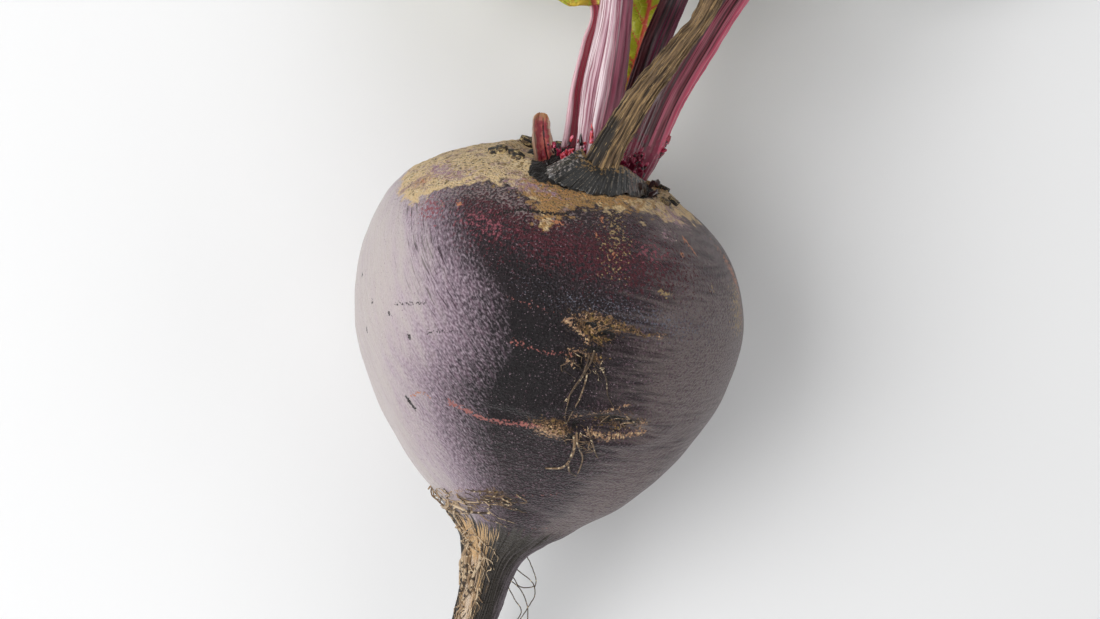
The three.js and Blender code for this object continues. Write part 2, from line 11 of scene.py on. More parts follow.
import bpy
import numpy as np
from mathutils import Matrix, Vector


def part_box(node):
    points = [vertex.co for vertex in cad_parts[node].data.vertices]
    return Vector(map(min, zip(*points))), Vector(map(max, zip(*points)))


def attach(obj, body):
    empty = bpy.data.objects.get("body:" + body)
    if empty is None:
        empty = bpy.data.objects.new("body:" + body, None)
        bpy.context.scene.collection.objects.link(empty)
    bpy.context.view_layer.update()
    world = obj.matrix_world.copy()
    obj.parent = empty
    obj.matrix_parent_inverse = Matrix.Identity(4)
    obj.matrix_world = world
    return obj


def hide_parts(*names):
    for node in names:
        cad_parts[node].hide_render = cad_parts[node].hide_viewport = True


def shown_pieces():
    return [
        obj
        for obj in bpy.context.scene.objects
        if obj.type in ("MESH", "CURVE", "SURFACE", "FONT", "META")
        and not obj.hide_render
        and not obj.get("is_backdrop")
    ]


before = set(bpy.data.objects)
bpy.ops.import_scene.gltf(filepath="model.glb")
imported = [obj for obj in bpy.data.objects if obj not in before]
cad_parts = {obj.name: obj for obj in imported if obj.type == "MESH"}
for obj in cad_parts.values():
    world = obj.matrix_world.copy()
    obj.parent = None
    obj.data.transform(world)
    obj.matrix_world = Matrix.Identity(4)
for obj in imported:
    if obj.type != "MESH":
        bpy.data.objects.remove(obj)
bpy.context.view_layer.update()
MM = 0.001
print("solids:", ", ".join(sorted(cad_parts)))

# %% [markdown]
# A few small helpers are used everywhere. Colours are given as the hex values that a colour picker
# shows, so one function turns them to the linear values that Blender mixes. One turns the size of a
# pattern in millimetres to the scale of its texture. One puts a mesh, a lamp or a camera in the scene. One
# adds a node with its settings and its links.


# %% Colours and nodes
def colour(code):
    """An sRGB hex value as linear red, green, blue and alpha."""
    parts = [int(code[i : i + 2], 16) / 255 for i in (1, 3, 5)]
    return [p / 12.92 if p <= 0.04045 else ((p + 0.055) / 1.055) ** 2.4 for p in parts] + [1.0]


def per(size_mm):
    """The scale of a texture whose features are this many millimetres apart."""
    return 1 / (size_mm * MM)


def in_scene(name, data):
    """A new object that shows this mesh, lamp or camera in the scene."""
    obj = bpy.data.objects.new(name, data)
    bpy.context.scene.collection.objects.link(obj)
    return obj


def add(tree, kind, put=None, **settings):
    """A new node, with its settings and with a value or a link in each socket that is named."""
    node = tree.nodes.new(kind)
    for name, value in settings.items():
        setattr(node, name, value)
    for socket, value in (put or {}).items():
        if isinstance(value, bpy.types.NodeSocket):
            tree.links.new(value, node.inputs[socket])
        else:
            node.inputs[socket].default_value = value
    return node


# %% [markdown]
# Most pieces of a beet are skins that can be laid out as rows and columns of points, so one function
# makes all their meshes. It joins the last column to the first where a skin goes round, closes both ends
# with a cap, and can lay the skin out flat as a UV map. Numbers that are worked out for each point, such
# as how corky it is, go along as attributes, where the materials read them.


# %% Meshes from grids
def grid_mesh(name, points, loop=False, caps=False, uv=None, values=None):
    """A mesh from an array of rows and columns of points in mm. loop joins the last column to the first."""
    rows, columns = points.shape[:2]
    spans = columns if loop else columns - 1
    row, column = np.meshgrid(np.arange(rows - 1), np.arange(spans), indexing="ij")
    following = (column + 1) % columns
    faces = np.stack(
        [
            row * columns + column,
            row * columns + following,
            (row + 1) * columns + following,
            (row + 1) * columns + column,
        ],
        axis=-1,
    ).reshape(-1, 4)
    verts = points.reshape(-1, 3) * MM
    polygons = faces.tolist()
    if caps:
        polygons.append(list(range(columns - 1, -1, -1)))
        polygons.append(list(range((rows - 1) * columns, rows * columns)))
    mesh = bpy.data.meshes.new(name)
    mesh.from_pydata(verts.tolist(), [], polygons)
    mesh.polygons.foreach_set("use_smooth", [i < len(faces) for i in range(len(polygons))])
    if uv is not None:
        seats = [(row, column), (row, column + 1), (row + 1, column + 1), (row + 1, column)]
        flat = np.stack([np.stack([part[seat] for seat in seats], axis=-1) for part in uv], axis=-1)
        with_caps = np.zeros((len(mesh.loops), 2), np.float32)
        with_caps[: 4 * len(faces)] = flat.reshape(-1, 2)
        mesh.uv_layers.new(name="skin").data.foreach_set("uv", with_caps.ravel())
    for label, value in (values or {}).items():
        attribute = mesh.attributes.new(label, "FLOAT", "POINT")
        attribute.data.foreach_set("value", np.asarray(value, np.float32).ravel())
    corners = verts[faces]
    volume = np.einsum("ij,ij->", corners[:, 0], np.cross(corners[:, 1], corners[:, 2]))
    volume += np.einsum("ij,ij->", corners[:, 0], np.cross(corners[:, 2], corners[:, 3]))
    if loop and volume < 0:
        mesh.flip_normals()
    return in_scene(name, mesh)


# %% [markdown]
# What repeats on the beet, and what noise should roughen, is shaped by Geometry Nodes. One function starts
# such a tree with named inputs for its sizes. One ends it: it makes the instances real and gives the
# result its finish. One runs it on a piece with that piece's values, keeps the mesh that comes out, and
# takes the modifier off again.


# %% Node trees that shape a piece
def shape_tree(name, inputs):
    """A Geometry Nodes tree with a geometry and a finish going in, and the named inputs after them."""
    tree = bpy.data.node_groups.new(name, "GeometryNodeTree")
    face = tree.interface
    face.new_socket("Geometry", in_out="INPUT", socket_type="NodeSocketGeometry")
    face.new_socket("Finish", in_out="INPUT", socket_type="NodeSocketMaterial")
    for label, (kind, value) in inputs.items():
        socket = face.new_socket(label, in_out="INPUT", socket_type="NodeSocket" + kind)
        if value is not None:
            socket.default_value = value
    face.new_socket("Geometry", in_out="OUTPUT", socket_type="NodeSocketGeometry")
    return tree, add(tree, "NodeGroupInput").outputs


def close_tree(tree, geometry, finish):
    """Ends a tree: its instances are made real and the result takes its finish."""
    real = add(tree, "GeometryNodeRealizeInstances", {0: geometry})
    dressed = add(tree, "GeometryNodeSetMaterial", {"Geometry": real.outputs[0], "Material": finish})
    add(tree, "NodeGroupOutput", {0: dressed.outputs[0]})


def run_tree(obj, tree, **values):
    """Runs the tree on the object with these inputs, and keeps the mesh that comes out."""
    modifier = obj.modifiers.new(tree.name, "NODES")
    modifier.node_group = tree
    for item in tree.interface.items_tree:
        label = item.name.replace(" ", "_").lower()
        if item.in_out == "INPUT" and label in values:
            modifier[item.identifier] = values[label]
    mesh = bpy.data.meshes.new_from_object(obj.evaluated_get(bpy.context.evaluated_depsgraph_get()))
    obj.modifiers.remove(modifier)
    obj.data = mesh
    mesh.name = obj.name
    print(f"{obj.name}: {len(mesh.vertices)} points, {len(mesh.polygons)} faces")
    return obj


# %% [markdown]
# The camera looks straight down from 650 mm above the table. From that height the near parts of the
# root look a little larger than the far ones, as they do in the photograph. The image is 1100 pixels
# wide and shows 4.5 pixels for each millimetre at the height of the root's middle, and the lens follows
# from those two numbers.

# %% Camera
IMAGE_WIDTH = 1100
PIXELS_PER_MM = 4.5
MIDDLE_HEIGHT = 42.0
CAMERA_HEIGHT = 650.0
SENSOR = 36.0
PICTURE_MIDDLE = (-0.667, 2.333)  # the point of the table under the middle of the picture

camera = in_scene("camera", bpy.data.cameras.new("camera"))
camera.location = Vector((*PICTURE_MIDDLE, CAMERA_HEIGHT)) * MM
camera.data.sensor_width = SENSOR
camera.data.lens = SENSOR * PIXELS_PER_MM * (CAMERA_HEIGHT - MIDDLE_HEIGHT) / IMAGE_WIDTH
camera.data.clip_start, camera.data.clip_end = 0.01, 20
bpy.context.scene.camera = camera
print(f"lens {camera.data.lens:.1f} mm")

# %% [markdown]
# The light is a big window to the left, so that the left cheek of the root shines pale and its top stays
# dark. Three white walls, at the right, in front and behind, send a part of it back and fill the shadows.
# A faint, even light from all round stands for the rest of the room. The table is white laminate, and its
# high roughness leaves no mirror image of the beet, only a soft shadow.


# %% Light and table
BEET_MIDDLE = (0, 0, 30)
WINDOW_PLACE, WINDOW_SIZE, WINDOW_WATTS = (-480, 0, 700), (700, 600), 5.8
WALL_SIZE = (1100, 700)
WHITE_WALLS = {"right": ((900, 0, 700), 2.5), "front": ((0, -900, 700), 3.4), "back": ((0, 900, 700), 2.6)}
TABLE_REACH = 3.0


def soft_light(name, place, size, watts):
    """A rectangular lamp, with its place and size in mm, turned to the beet."""
    lamp = in_scene(name, bpy.data.lights.new(name, "AREA"))
    lamp.data.shape, lamp.data.size, lamp.data.size_y = "RECTANGLE", size[0] * MM, size[1] * MM
    lamp.data.energy = watts
    lamp.location = Vector(place) * MM
    lamp.rotation_euler = (Vector(BEET_MIDDLE) * MM - lamp.location).to_track_quat("-Z", "Y").to_euler()
    print(name, watts, "W")


soft_light("window", WINDOW_PLACE, WINDOW_SIZE, WINDOW_WATTS)
for side, (place, watts) in WHITE_WALLS.items():
    soft_light(f"white_wall_{side}", place, WALL_SIZE, watts)
world = bpy.data.worlds.new("room")
bpy.context.scene.world = world
world.use_nodes = True
world.node_tree.nodes["Background"].inputs["Color"].default_value = colour("#e9ebee")
world.node_tree.nodes["Background"].inputs["Strength"].default_value = 0.2

floor_mesh = bpy.data.meshes.new("table_top")
table_corners = [(x * TABLE_REACH, y * TABLE_REACH, 0) for x, y in ((-1, -1), (1, -1), (1, 1), (-1, 1))]
floor_mesh.from_pydata(table_corners, [], [(0, 1, 2, 3)])
table_top = in_scene("table_top", floor_mesh)
paint = bpy.data.materials.new("matt_white_laminate")
paint.use_nodes = True
paint.node_tree.nodes["Principled BSDF"].inputs["Base Color"].default_value = colour("#eeeeee")
paint.node_tree.nodes["Principled BSDF"].inputs["Roughness"].default_value = 0.75
floor_mesh.materials.append(paint)
table_top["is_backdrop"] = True
bpy.context.scene.view_settings.view_transform = "Standard"

# %% [markdown]
# The shape of the root is a turned outline, like a pot on a wheel: a list of distances along its axis
# with the radius there. The axis lies 14.5 degrees off the picture's upright, with the crown raised by
# 12 degrees. The tail leaves that axis: it sways a little and drops to the table. Six side scars are
# listed with it, by where they are and how large. These are the same numbers as the solid model's.

# %% Where the root lies
AXIS_LEAN, AXIS_TILT, BULB_HEIGHT = math.radians(14.5), math.radians(12), 41.8
CROWNWARD = np.array(
    [
        math.sin(AXIS_LEAN) * math.cos(AXIS_TILT),
        math.cos(AXIS_LEAN) * math.cos(AXIS_TILT),
        math.sin(AXIS_TILT),
    ]
)
ACROSS = np.array([math.cos(AXIS_LEAN), -math.sin(AXIS_LEAN), 0])
UPWARD = np.cross(ACROSS, CROWNWARD)
BULB_CENTRE = np.array([0, 0, BULB_HEIGHT])
ROOT_PROFILE = np.array(
    [
        [-134, 0], [-132.5, 0.7], [-122, 1.2], [-108, 1.9], [-94, 2.9], [-80, 4.1], [-68.5, 5.1],
        [-60, 5.9], [-53.5, 8.1], [-47, 13.7], [-41, 20], [-34.5, 26.6], [-27, 32.5], [-18, 37.8],
        [-8.5, 41.5], [2, 43.2], [12, 42.5], [20.5, 39.2], [26.5, 34.2], [31, 27.3], [33.5, 20.5],
        [34.5, 15], [36.5, 11], [38, 6], [38.5, 0],
    ]
)  # fmt: skip
TAIL_START, TAIL_DROP, TAIL_SWAY = -62, 0.0032, 0.0022
SIDE_SCARS = [
    # along in mm, degrees, half the height in mm, half the width in degrees, depth in mm
    (8.5, 71, 2.6, 13, 1.5), (3.6, 79, 2, 5, 1), (-11.8, 66, 2.7, 15, 1.8), (-13.6, 92, 1.5, 11, 0.5),
    (-6, 222, 5, 16, 1.3), (-22, 214, 4.5, 15, 1.4),
]  # fmt: skip

print("outline of", len(ROOT_PROFILE), "points, side scars:", len(SIDE_SCARS))

# %% [markdown]
# A beet has no straight line and no sharp corner. So everything on it is drawn with smooth curves through
# a few points, and with four soft functions: one climbs from 0 to 1 between two places, one is 1 at a
# place and fades on both sides, one is the shorter way from one angle to another, and one lets a thing
# that sinks towards the table come to rest on it softly.


# %% Curves and bumps
def spline(points, share, run_on=True):
    """A smooth curve through the points. run_on carries its ends straight on, as a path does."""
    p = np.asarray(points, float)
    first, last = (2 * p[0] - p[1], 2 * p[-1] - p[-2]) if run_on else (p[0], p[-1])
    q = np.vstack([first, p, last])
    x = np.clip(np.asarray(share, float), 0, 1) * (len(p) - 1)
    i = np.minimum(x.astype(int), len(p) - 2)
    u = (x - i)[..., None]
    a, b, c, d = q[i], q[i + 1], q[i + 2], q[i + 3]
    return 0.5 * (2 * b + (c - a) * u + (2 * a - 5 * b + 4 * c - d) * u**2 + (3 * b - a - 3 * c + d) * u**3)


def heading(points, share, run_on=True):
    """The direction of that curve."""
    share = np.asarray(share, float)
    step = spline(points, share + 1e-4, run_on) - spline(points, share - 1e-4, run_on)
    return step / np.maximum(np.linalg.norm(step, axis=-1, keepdims=True), 1e-12)


def smooth(x, low, high):
    """Climbs softly from 0 at low to 1 at high."""
    t = np.clip((x - low) / (high - low), 0, 1)
    return t * t * (3 - 2 * t)


def bell(x, middle, width):
    """1 in the middle, and little more than a third one width away from it."""
    return np.exp(-(((x - middle) / width) ** 2))


def turn(start, end):
    """The shorter way from one angle to another, in degrees from -180 to 180."""
    return (np.asarray(end) - start + 540) % 360 - 180


def settle(height, softness=3):
    """The height itself well above the table, and a soft landing on it below."""
    return (height + np.hypot(height, softness)) / 2


# %% [markdown]
# A point of the root is found from its place on the outline and its angle round the axis. The relief says
# how far it then moves out or in. It makes the bulb a little three- and five-sided, swells its left side
# and flattens the shoulder above, runs two ridges and a furrow into the neck, sinks each side scar with a
# raised edge, and puts a low wall round the crown. It could be sculpted by hand, but as a formula it is
# the solid model's own, so the finer skin fits over the solid.


# %% A point of the root
def scar_distance(along, degrees, scar):
    """0 in the middle of a side scar and 1 at its edge."""
    return np.hypot(turn(scar[1], degrees) / scar[3], (along - scar[0]) / scar[2])


def root_relief(along, radius, degrees):
    """How far the skin stands out from the turned outline, in mm."""
    on_bulb = smooth(along, -52, -30) * smooth(radius, 12, 30)
    height = on_bulb * 0.35 * np.sin(np.radians(3 * degrees + 40))
    height += on_bulb * 0.3 * np.sin(np.radians(5 * degrees + 200))
    height += on_bulb * 0.8 * bell(turn(182, degrees), 0, 30) * bell(along, -14, 24)
    height -= 1.1 * bell(turn(185, degrees), 0, 36) * bell(along, 27, 7)
    height += 1.1 * bell(turn(30, degrees), 0, 11) * bell(along, -30, 13)
    height -= 0.7 * bell(turn(52, degrees), 0, 10) * bell(along, -30, 12)
    height += 0.6 * bell(turn(138, degrees), 0, 8) * bell(along, -28, 14)
    for scar in SIDE_SCARS:
        distance = scar_distance(along, degrees, scar)
        height += scar[4] * (0.35 * bell(distance, 1.4, 0.4) - bell(distance, 0, 0.8))
    height += smooth(along, 28, 33) * (0.9 * bell(radius, 19, 2.6) - 0.7 * bell(radius, 13.5, 3))
    return height * smooth(radius, 0, 4)


def root_point(share, degrees, lift=0.0):
    """The point at a share of the outline and an angle, lifted off the skin by some mm."""
    on, ahead = spline(ROOT_PROFILE, share, False), heading(ROOT_PROFILE, share, False)
    height = root_relief(on[..., 0], on[..., 1], degrees) + lift
    radius = np.maximum(0, on[..., 1] + height * ahead[..., 0])
    angle = np.radians(degrees)
    tail = np.maximum(0, TAIL_START - on[..., 0]) ** 2
    across = radius * np.cos(angle)
    axis = on[..., 0] - height * ahead[..., 1] - 0.085 * across * smooth(on[..., 0], -5, 25)
    # the neck stands a little to the right of the axis and the belly to its left
    across = across + 0.8 * bell(on[..., 0], -47, 6) - 1.5 * bell(on[..., 0], 6, 30) - TAIL_SWAY * tail
    point = BULB_CENTRE + axis[..., None] * CROWNWARD + across[..., None] * ACROSS
    point = point - (TAIL_DROP * tail)[..., None] * UPWARD
    lying = on[..., 1] + settle(point[..., 2] - on[..., 1], 2)
    point[..., 2] = np.where(tail > 0, lying, point[..., 2])
    return point + (radius * np.sin(angle))[..., None] * UPWARD


def share_at(along):
    """The share of the outline at a distance along the axis."""
    return np.interp(along, ROOT_PROFILE[:, 0], np.arange(len(ROOT_PROFILE))) / (len(ROOT_PROFILE) - 1)


# %% [markdown]
# The skin is laid out as rings from the end of the tail to the middle of the crown. Rings and columns
# stand about 0.55 mm apart where the picture shows fine skin, and up to 1.7 mm apart at the back, the
# underside and the tail.

# %% Rings and columns
# mm between rings at places along the axis, and degrees between columns from one angle to another
RING_PLACES, RING_GAPS = [-60, -54, -32, -26], [1.2, 0.8, 0.8, 0.55]
COLUMN_SPANS = [(-90, 18, 2.0), (18, 146, 0.68), (146, 182, 1.2), (182, 270, 2.2)]
outline_share = np.linspace(0.001, 0.992, 6000)
walk = spline(ROOT_PROFILE, outline_share, False)
length = np.concatenate([[0], np.cumsum(np.linalg.norm(np.diff(walk, axis=0), axis=1))])
ring_gap = np.interp(walk[:, 0], RING_PLACES, RING_GAPS)
rings = np.concatenate([[0], np.cumsum(np.diff(length) / ring_gap[1:])])
ring_share = np.interp(np.arange(0, rings[-1]), rings, outline_share)
columns = np.concatenate([np.arange(*span) for span in COLUMN_SPANS])
share_grid, angle_grid = np.meshgrid(ring_share, columns, indexing="ij")
on_outline = spline(ROOT_PROFILE, share_grid, False)
along, radius = on_outline[..., 0], on_outline[..., 1]
angle = angle_grid % 360
print("rings and columns:", share_grid.shape)

# %% [markdown]
# What the skin is like at each point is a number from 0 to 1, and there are many such masks: how corky it
# is, how red, how dusty. They are put together like paint, from soft spots, soft lines and broad fronts.
# A place on the skin is a distance along the axis and an angle round it: 0 degrees is at the right, 90
# faces up and 180 is at the left. A degree counts as 0.72 mm, which is about its length on the bulb.

# %% Spots and lines on the skin
MM_PER_DEGREE = 0.72


def spot_at(along_mm, degrees, half_length, half_width):
    """1 in the middle of a spot on the skin and 0 away from it. Its length runs round the root."""
    x, y = turn(degrees, angle) * MM_PER_DEGREE, along - along_mm
    return np.exp(-((x / half_length) ** 2) - (y / half_width) ** 2)


def line_at(half_width, *places):
    """1 on a line over the skin and 0 away from it. Its places are distances along the axis, and degrees."""
    x, y = turn(90, angle) * MM_PER_DEGREE, along
    path = [(turn(90, degrees) * MM_PER_DEGREE, along_mm) for along_mm, degrees in places]
    nearest = np.full(angle.shape, 99.0)
    for (x0, y0), (x1, y1) in zip(path, path[1:]):
        share = ((x - x0) * (x1 - x0) + (y - y0) * (y1 - y0)) / ((x1 - x0) ** 2 + (y1 - y0) ** 2)
        share = np.clip(share, 0, 1)
        nearest = np.minimum(nearest, np.hypot(x - x0 - share * (x1 - x0), y - y0 - share * (y1 - y0)))
    return bell(nearest, 0, half_width)


def front(width, middle=90):
    """1 on the side that faces up, falling to 0 this many degrees away from the middle."""
    return bell(turn(middle, angle), 0, width)


# %% [markdown]
# A beet's skin isn't one finish all over. The shoulder is dry cork with a ragged edge, and inside it lies the
# black ring of the crown. The left cheek is pale: partly a real dusty bloom, and partly painted sheen from
# the window, with a painted highlight along its left rim and a purple rim of painted sheen where it ends at
# the bare top. The top is painted nearly black, the skin's own dark colour with painted shade where it
# mirrors nothing bright. The right flank is paler: partly dust, and partly a painted reflection of the white
# table. The neck and the tail are bark, ochre and pale at the left and grey-mauve at the right. Three lines
# give the edges of the cork, the crown and the pale cheek.

# %% Where the skin is cork, dust and dark, with painted sheen and shade
CORK_EDGE = [
    # degrees, and mm along the axis
    (-90, 30), (-40, 32), (6, 32.6), (25, 33.1), (53, 33.3), (68, 32.9), (80, 32.8), (87, 32.3), (94, 31.2),
    (101, 29.4), (106, 29.4), (113, 30.2), (121, 30.4), (130, 29.2), (138, 26), (144, 22.6), (150, 20.6),
    (165, 19.8), (190, 23), (230, 26), (270, 30),
]  # fmt: skip
CROWN_EDGE = [
    (-90, 34), (0, 34.3), (52, 34.1), (66, 33.9), (77, 33.5), (94, 33.1), (110, 32.5), (118, 32.2),
    (127, 33.5), (133, 34.4), (140, 35.2), (150, 35.4), (200, 34.6), (270, 34),
]  # fmt: skip
# mm along the axis, and degrees
BLOOM_AND_SHEEN_LINE = [(-46, 108), (-34, 110), (-22, 119), (-11, 122), (0, 117), (11, 122), (17, 135), (24, 150)]
cork_edge = np.interp(angle_grid, *zip(*CORK_EDGE))
crown_edge = np.interp(angle_grid, *zip(*CROWN_EDGE))
past_line = turn(np.interp(along, *zip(*BLOOM_AND_SHEEN_LINE)), angle)
left_side = smooth(turn(262, angle), 0, -40) * smooth(along, -58, -44)
right_side = smooth(turn(262, angle), 0, 40) * smooth(along, -58, -44)
skin_values = {
    "cork": smooth(along, cork_edge - 3.4, cork_edge + 2.6) + 0.46 * spot_at(28, 99, 4.5, 1.7)
    + 0.42 * spot_at(25.6, 100, 2.4, 1.3) + 0.3 * spot_at(21, 153, 8, 3),
    "brown": smooth(turn(121, angle), 5, -9) * (1 - 0.75 * front(42, 14)),
    "haze": 0.46 * bell(along, cork_edge - 2.6, 2.8) * front(46, 122),
    "crown": smooth(along, crown_edge - 0.45, crown_edge + 0.35),
    "red": 0.44 * bell(along, 26, 6) * front(66, 84) + 0.24 * bell(along, 21, 7) * front(52, 84)
    + 0.18 * bell(along, 18, 11) * front(16, 126),
    "speck": 0.37 - 0.25 * front(32, 98) * bell(along, 3, 27),
    # dark: the skin's own dark colour and painted shade, strongest where the top faces up
    "dark": 0.97 * front(36, 97) * bell(along, -1, 36),
    # bloom: partly real dust and partly painted sheen from the window, on the left side only
    "bloom": np.clip(0.49 + past_line / 42, 0, 1) * left_side,
    # violet: painted sheen, a purple rim where the pale cheek ends
    "violet": 0.62 * bell(past_line, 9, 14) * left_side,
    # crease: painted shade in the fine creases at the rim of the pale cheek
    "crease": 0.38 * bell(past_line, 6, 14) * bell(along, 12, 13),
    # edge: a painted highlight along the left rim, over a little real dust
    "edge": np.clip(0.5 + (past_line - 14) / 30, 0, 1) * left_side * (1 - 0.6 * smooth(along, 11, 21)),
    # flank: partly dust and partly a painted reflection of the white table, on the right side
    "flank": smooth(turn(78, angle), 0, -36) * right_side
    * (1 - 0.5 * bell(along, 26, 8) - 0.35 * bell(along, -16, 11)),
    "bark": smooth(along, -40, -50),
    "ochre": 0.74 * smooth(along, -41, -49) * front(32, 124),
    "flaps": 0.64 * smooth(along, -52, -59) * front(26, 124),
    "mauve": 0.8 * smooth(along, -38, -50) * front(40, 8),
}
print("broad masks:", ", ".join(skin_values))

# %% [markdown]
# Over these lie the marks that only this beet has: red blushes on the shoulder, wine-coloured and pale
# stains where the cork thins out, a slate-grey band on the top, flecks of orange, pink scratches across
# the front, straw-coloured streaks that run down from the cork, and a few black nicks.

# %% Blotches and scratches
skin_values["blush"] = (
    0.5 * spot_at(20, 139, 6, 3.5) + 0.42 * spot_at(22, 118, 9, 3) + 0.42 * spot_at(18, 8, 4, 8)
    + 0.42 * spot_at(27, 60, 9, 2.5)
)  # fmt: skip
skin_values["wine"] = (
    0.42 * spot_at(28.4, 141, 6, 1.6) + 0.5 * spot_at(30.4, 118, 8, 1.6) + 0.66 * spot_at(26.5, 157, 8, 2.4)
    + 0.4 * spot_at(30, 48, 5, 1.2) + 0.55 * spot_at(32.4, 30, 9, 1.3) + 0.4 * spot_at(31.4, 104, 6, 0.8)
)  # fmt: skip
skin_values["slate"] = 0.36 * bell(along, 14, 5) * front(44, 60)
skin_values["orange"] = (
    0.6 * spot_at(23.2, 130, 1.4, 0.7) + 0.45 * spot_at(23.2, 156, 4, 3) + 0.62 * spot_at(27.5, 96, 1.8, 0.8)
    + 0.6 * spot_at(30.5, 79, 0.8, 0.6) + 0.6 * spot_at(27.5, 81, 0.7, 0.8) + 0.6 * spot_at(24, 6, 3, 6)
    + 0.7 * line_at(0.45, (29.9, 37), (28.9, 36), (27.5, 35))
    + 0.5 * line_at(0.5, (-17, 129), (-15.2, 125), (-15.2, 121)) + 0.5 * spot_at(29.5, 38, 1, 1)
    + 0.5 * spot_at(27.4, 44, 0.9, 0.9) + 0.55 * spot_at(25.1, 74, 0.8, 0.7)
)  # fmt: skip
skin_values["pink"] = (
    0.6 * line_at(0.9, (-14.8, 114), (-15.2, 109), (-16.2, 101), (-15.8, 96), (-15.2, 90), (-14.1, 84))
    + 0.42 * line_at(0.7, (2.8, 98), (2.4, 93), (2.2, 88), (2.8, 81)) + 0.3 * spot_at(11, 95, 7, 0.8)
    + 0.38 * line_at(0.45, (-37.6, 98), (-34, 84), (-31.1, 68))
    + 0.34 * line_at(0.45, (-44.2, 80), (-43, 65), (-42, 49))
)  # fmt: skip
skin_values["streak"] = (
    smooth(along, 14, 27) * (0.27 * front(5, 73) + 0.12 * front(14, 76))
    + smooth(along, 6, 15) * smooth(along, 27, 20) * 0.46 * front(10, 13)
    + 0.5 * spot_at(20.1, 55.5, 2.2, 1.1) + 0.5 * spot_at(22.2, 32, 0.9, 1.5)
)  # fmt: skip
skin_values["pit"] = (
    line_at(0.28, (23.7, 117), (25.1, 114), (26.8, 110), (27.9, 103), (28.9, 96), (29.9, 93))
    + line_at(0.55, (-17.8, 131), (-19.4, 128)) + 0.5 * line_at(0.45, (0.9, 137), (4, 125))
    + 0.5 * line_at(0.45, (-1.5, 123), (0.9, 114)) + spot_at(1.5, 162, 0.7, 0.6)
    + spot_at(-1.5, 150, 0.6, 0.7) + spot_at(-1.5, 139, 0.6, 0.5) + spot_at(-4, 129, 0.6, 0.6)
    + spot_at(-8.2, 153, 0.7, 0.7)
)  # fmt: skip

# %% [markdown]
# Side roots have burst the skin, and each scar is a torn groove. Three masks draw it: the brown wound, the
# pale lips along its edges, and the groove between them, painted black as shade in its hollow. The relief
# further down reads the same masks, so that shape and colour agree.

# %% Grooves with side roots
skin_values["wound"] = (
    0.86 * spot_at(10.8, 76, 5.6, 2.6) + 0.6 * spot_at(8, 74.5, 2.8, 2.2) + 0.4 * spot_at(11.4, 67, 4.4, 1.4)
    + 0.4 * line_at(0.5, (11.4, 66), (10.8, 61), (11.3, 54)) + 0.52 * spot_at(3.4, 74.5, 2.6, 1.7)
    + 0.4 * spot_at(2.9, 80, 1.8, 1.8) + 0.82 * spot_at(-13.8, 81, 5.2, 2) + 0.66 * spot_at(-10, 62, 6.4, 2.7)
    + 0.9 * spot_at(-6, 222, 12, 4) + 0.9 * spot_at(-22, 214, 10, 4) + 0.5 * spot_at(-35.6, 93, 4.5, 2)
    + 0.4 * line_at(1.0, (-42, 136), (-38, 116), (-35, 103), (-33.6, 94))
)  # fmt: skip
skin_values["lip"] = (
    0.5 * line_at(0.75, (9.8, 84), (8, 79.5), (6.3, 76.5)) + 0.55 * spot_at(11.2, 56.5, 1.6, 0.7)
    + 0.38 * line_at(0.6, (9.8, 85), (11.8, 82), (13, 77), (13.2, 72))
    + 0.44 * line_at(0.7, (4, 82), (4.2, 79), (3.6, 77)) + 0.44 * line_at(0.7, (2.2, 82), (0.6, 79.5))
    + 0.56 * spot_at(-15.2, 81, 5.2, 2.1)
    + 0.5 * line_at(0.55, (-11.2, 76), (-8.8, 70), (-6.4, 63), (-5.6, 60))
    + 0.5 * spot_at(-9.4, 53.5, 1.4, 1.5)
    + 0.56 * line_at(0.9, (-14, 69), (-14.2, 63), (-13.4, 57), (-11.6, 51))
    + 0.5 * line_at(0.5, (-41, 130), (-36, 112))
)  # fmt: skip
skin_values["groove"] = (
    0.85 * spot_at(10.4, 77.5, 2, 0.8) + 0.85 * spot_at(9.2, 71.5, 1.9, 1.1)
    + 0.85 * spot_at(5.4, 75, 2.4, 1.1)
    + 0.9 * line_at(0.6, (3.2, 77.5), (0.8, 77)) + 0.9 * spot_at(-15.6, 73.5, 1.8, 1.1)
    + 0.9 * spot_at(-9.9, 61.5, 5.2, 1.5) + 0.6 * spot_at(-13, 73, 2.4, 0.9) + 0.7 * spot_at(-6, 222, 8, 2)
    + 0.7 * spot_at(-22, 214, 7, 2) + 0.7 * spot_at(-36.5, 90, 4, 1.6) + 0.6 * spot_at(-38.5, 78, 7, 1.4)
)  # fmt: skip
skin_values = {name: np.clip(value, 0, 1) for name, value in skin_values.items()}
print("all masks:", len(skin_values))

# %% [markdown]
# Now the skin becomes a mesh, and every point carries its masks. It also carries the skin rolled out flat,
# so that a pattern can run round the root or down it. The materials find that in the UV map, and the
# Geometry Nodes tree in the attribute "laid".

# %% The skin's mesh
spot = root_point(share_grid, angle_grid)
spot[..., 2] = np.maximum(spot[..., 2], 0)
skin_uv = [
    np.hstack([angle_grid, angle_grid[:, :1] + 360]) * MM_PER_DEGREE * MM,
    np.hstack([along, along[:, :1]]) * MM,
]
root_skin = grid_mesh("root_skin", spot, loop=True, caps=True, uv=skin_uv, values=skin_values)
laid_flat = np.stack([angle_grid * MM_PER_DEGREE * MM, along * MM, np.zeros_like(along)], axis=-1)
flat_places = root_skin.data.attributes.new("laid", "FLOAT_VECTOR", "POINT")
flat_places.data.foreach_set("vector", laid_flat.astype(np.float32).ravel())
solid_low, solid_high = (np.round(np.array(corner) / MM, 1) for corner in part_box("root"))
print("lowest corner of the root, mesh and solid in mm:", np.round(spot.min((0, 1)), 1), solid_low)
print("highest corner:", np.round(spot.max((0, 1)), 1), solid_high)

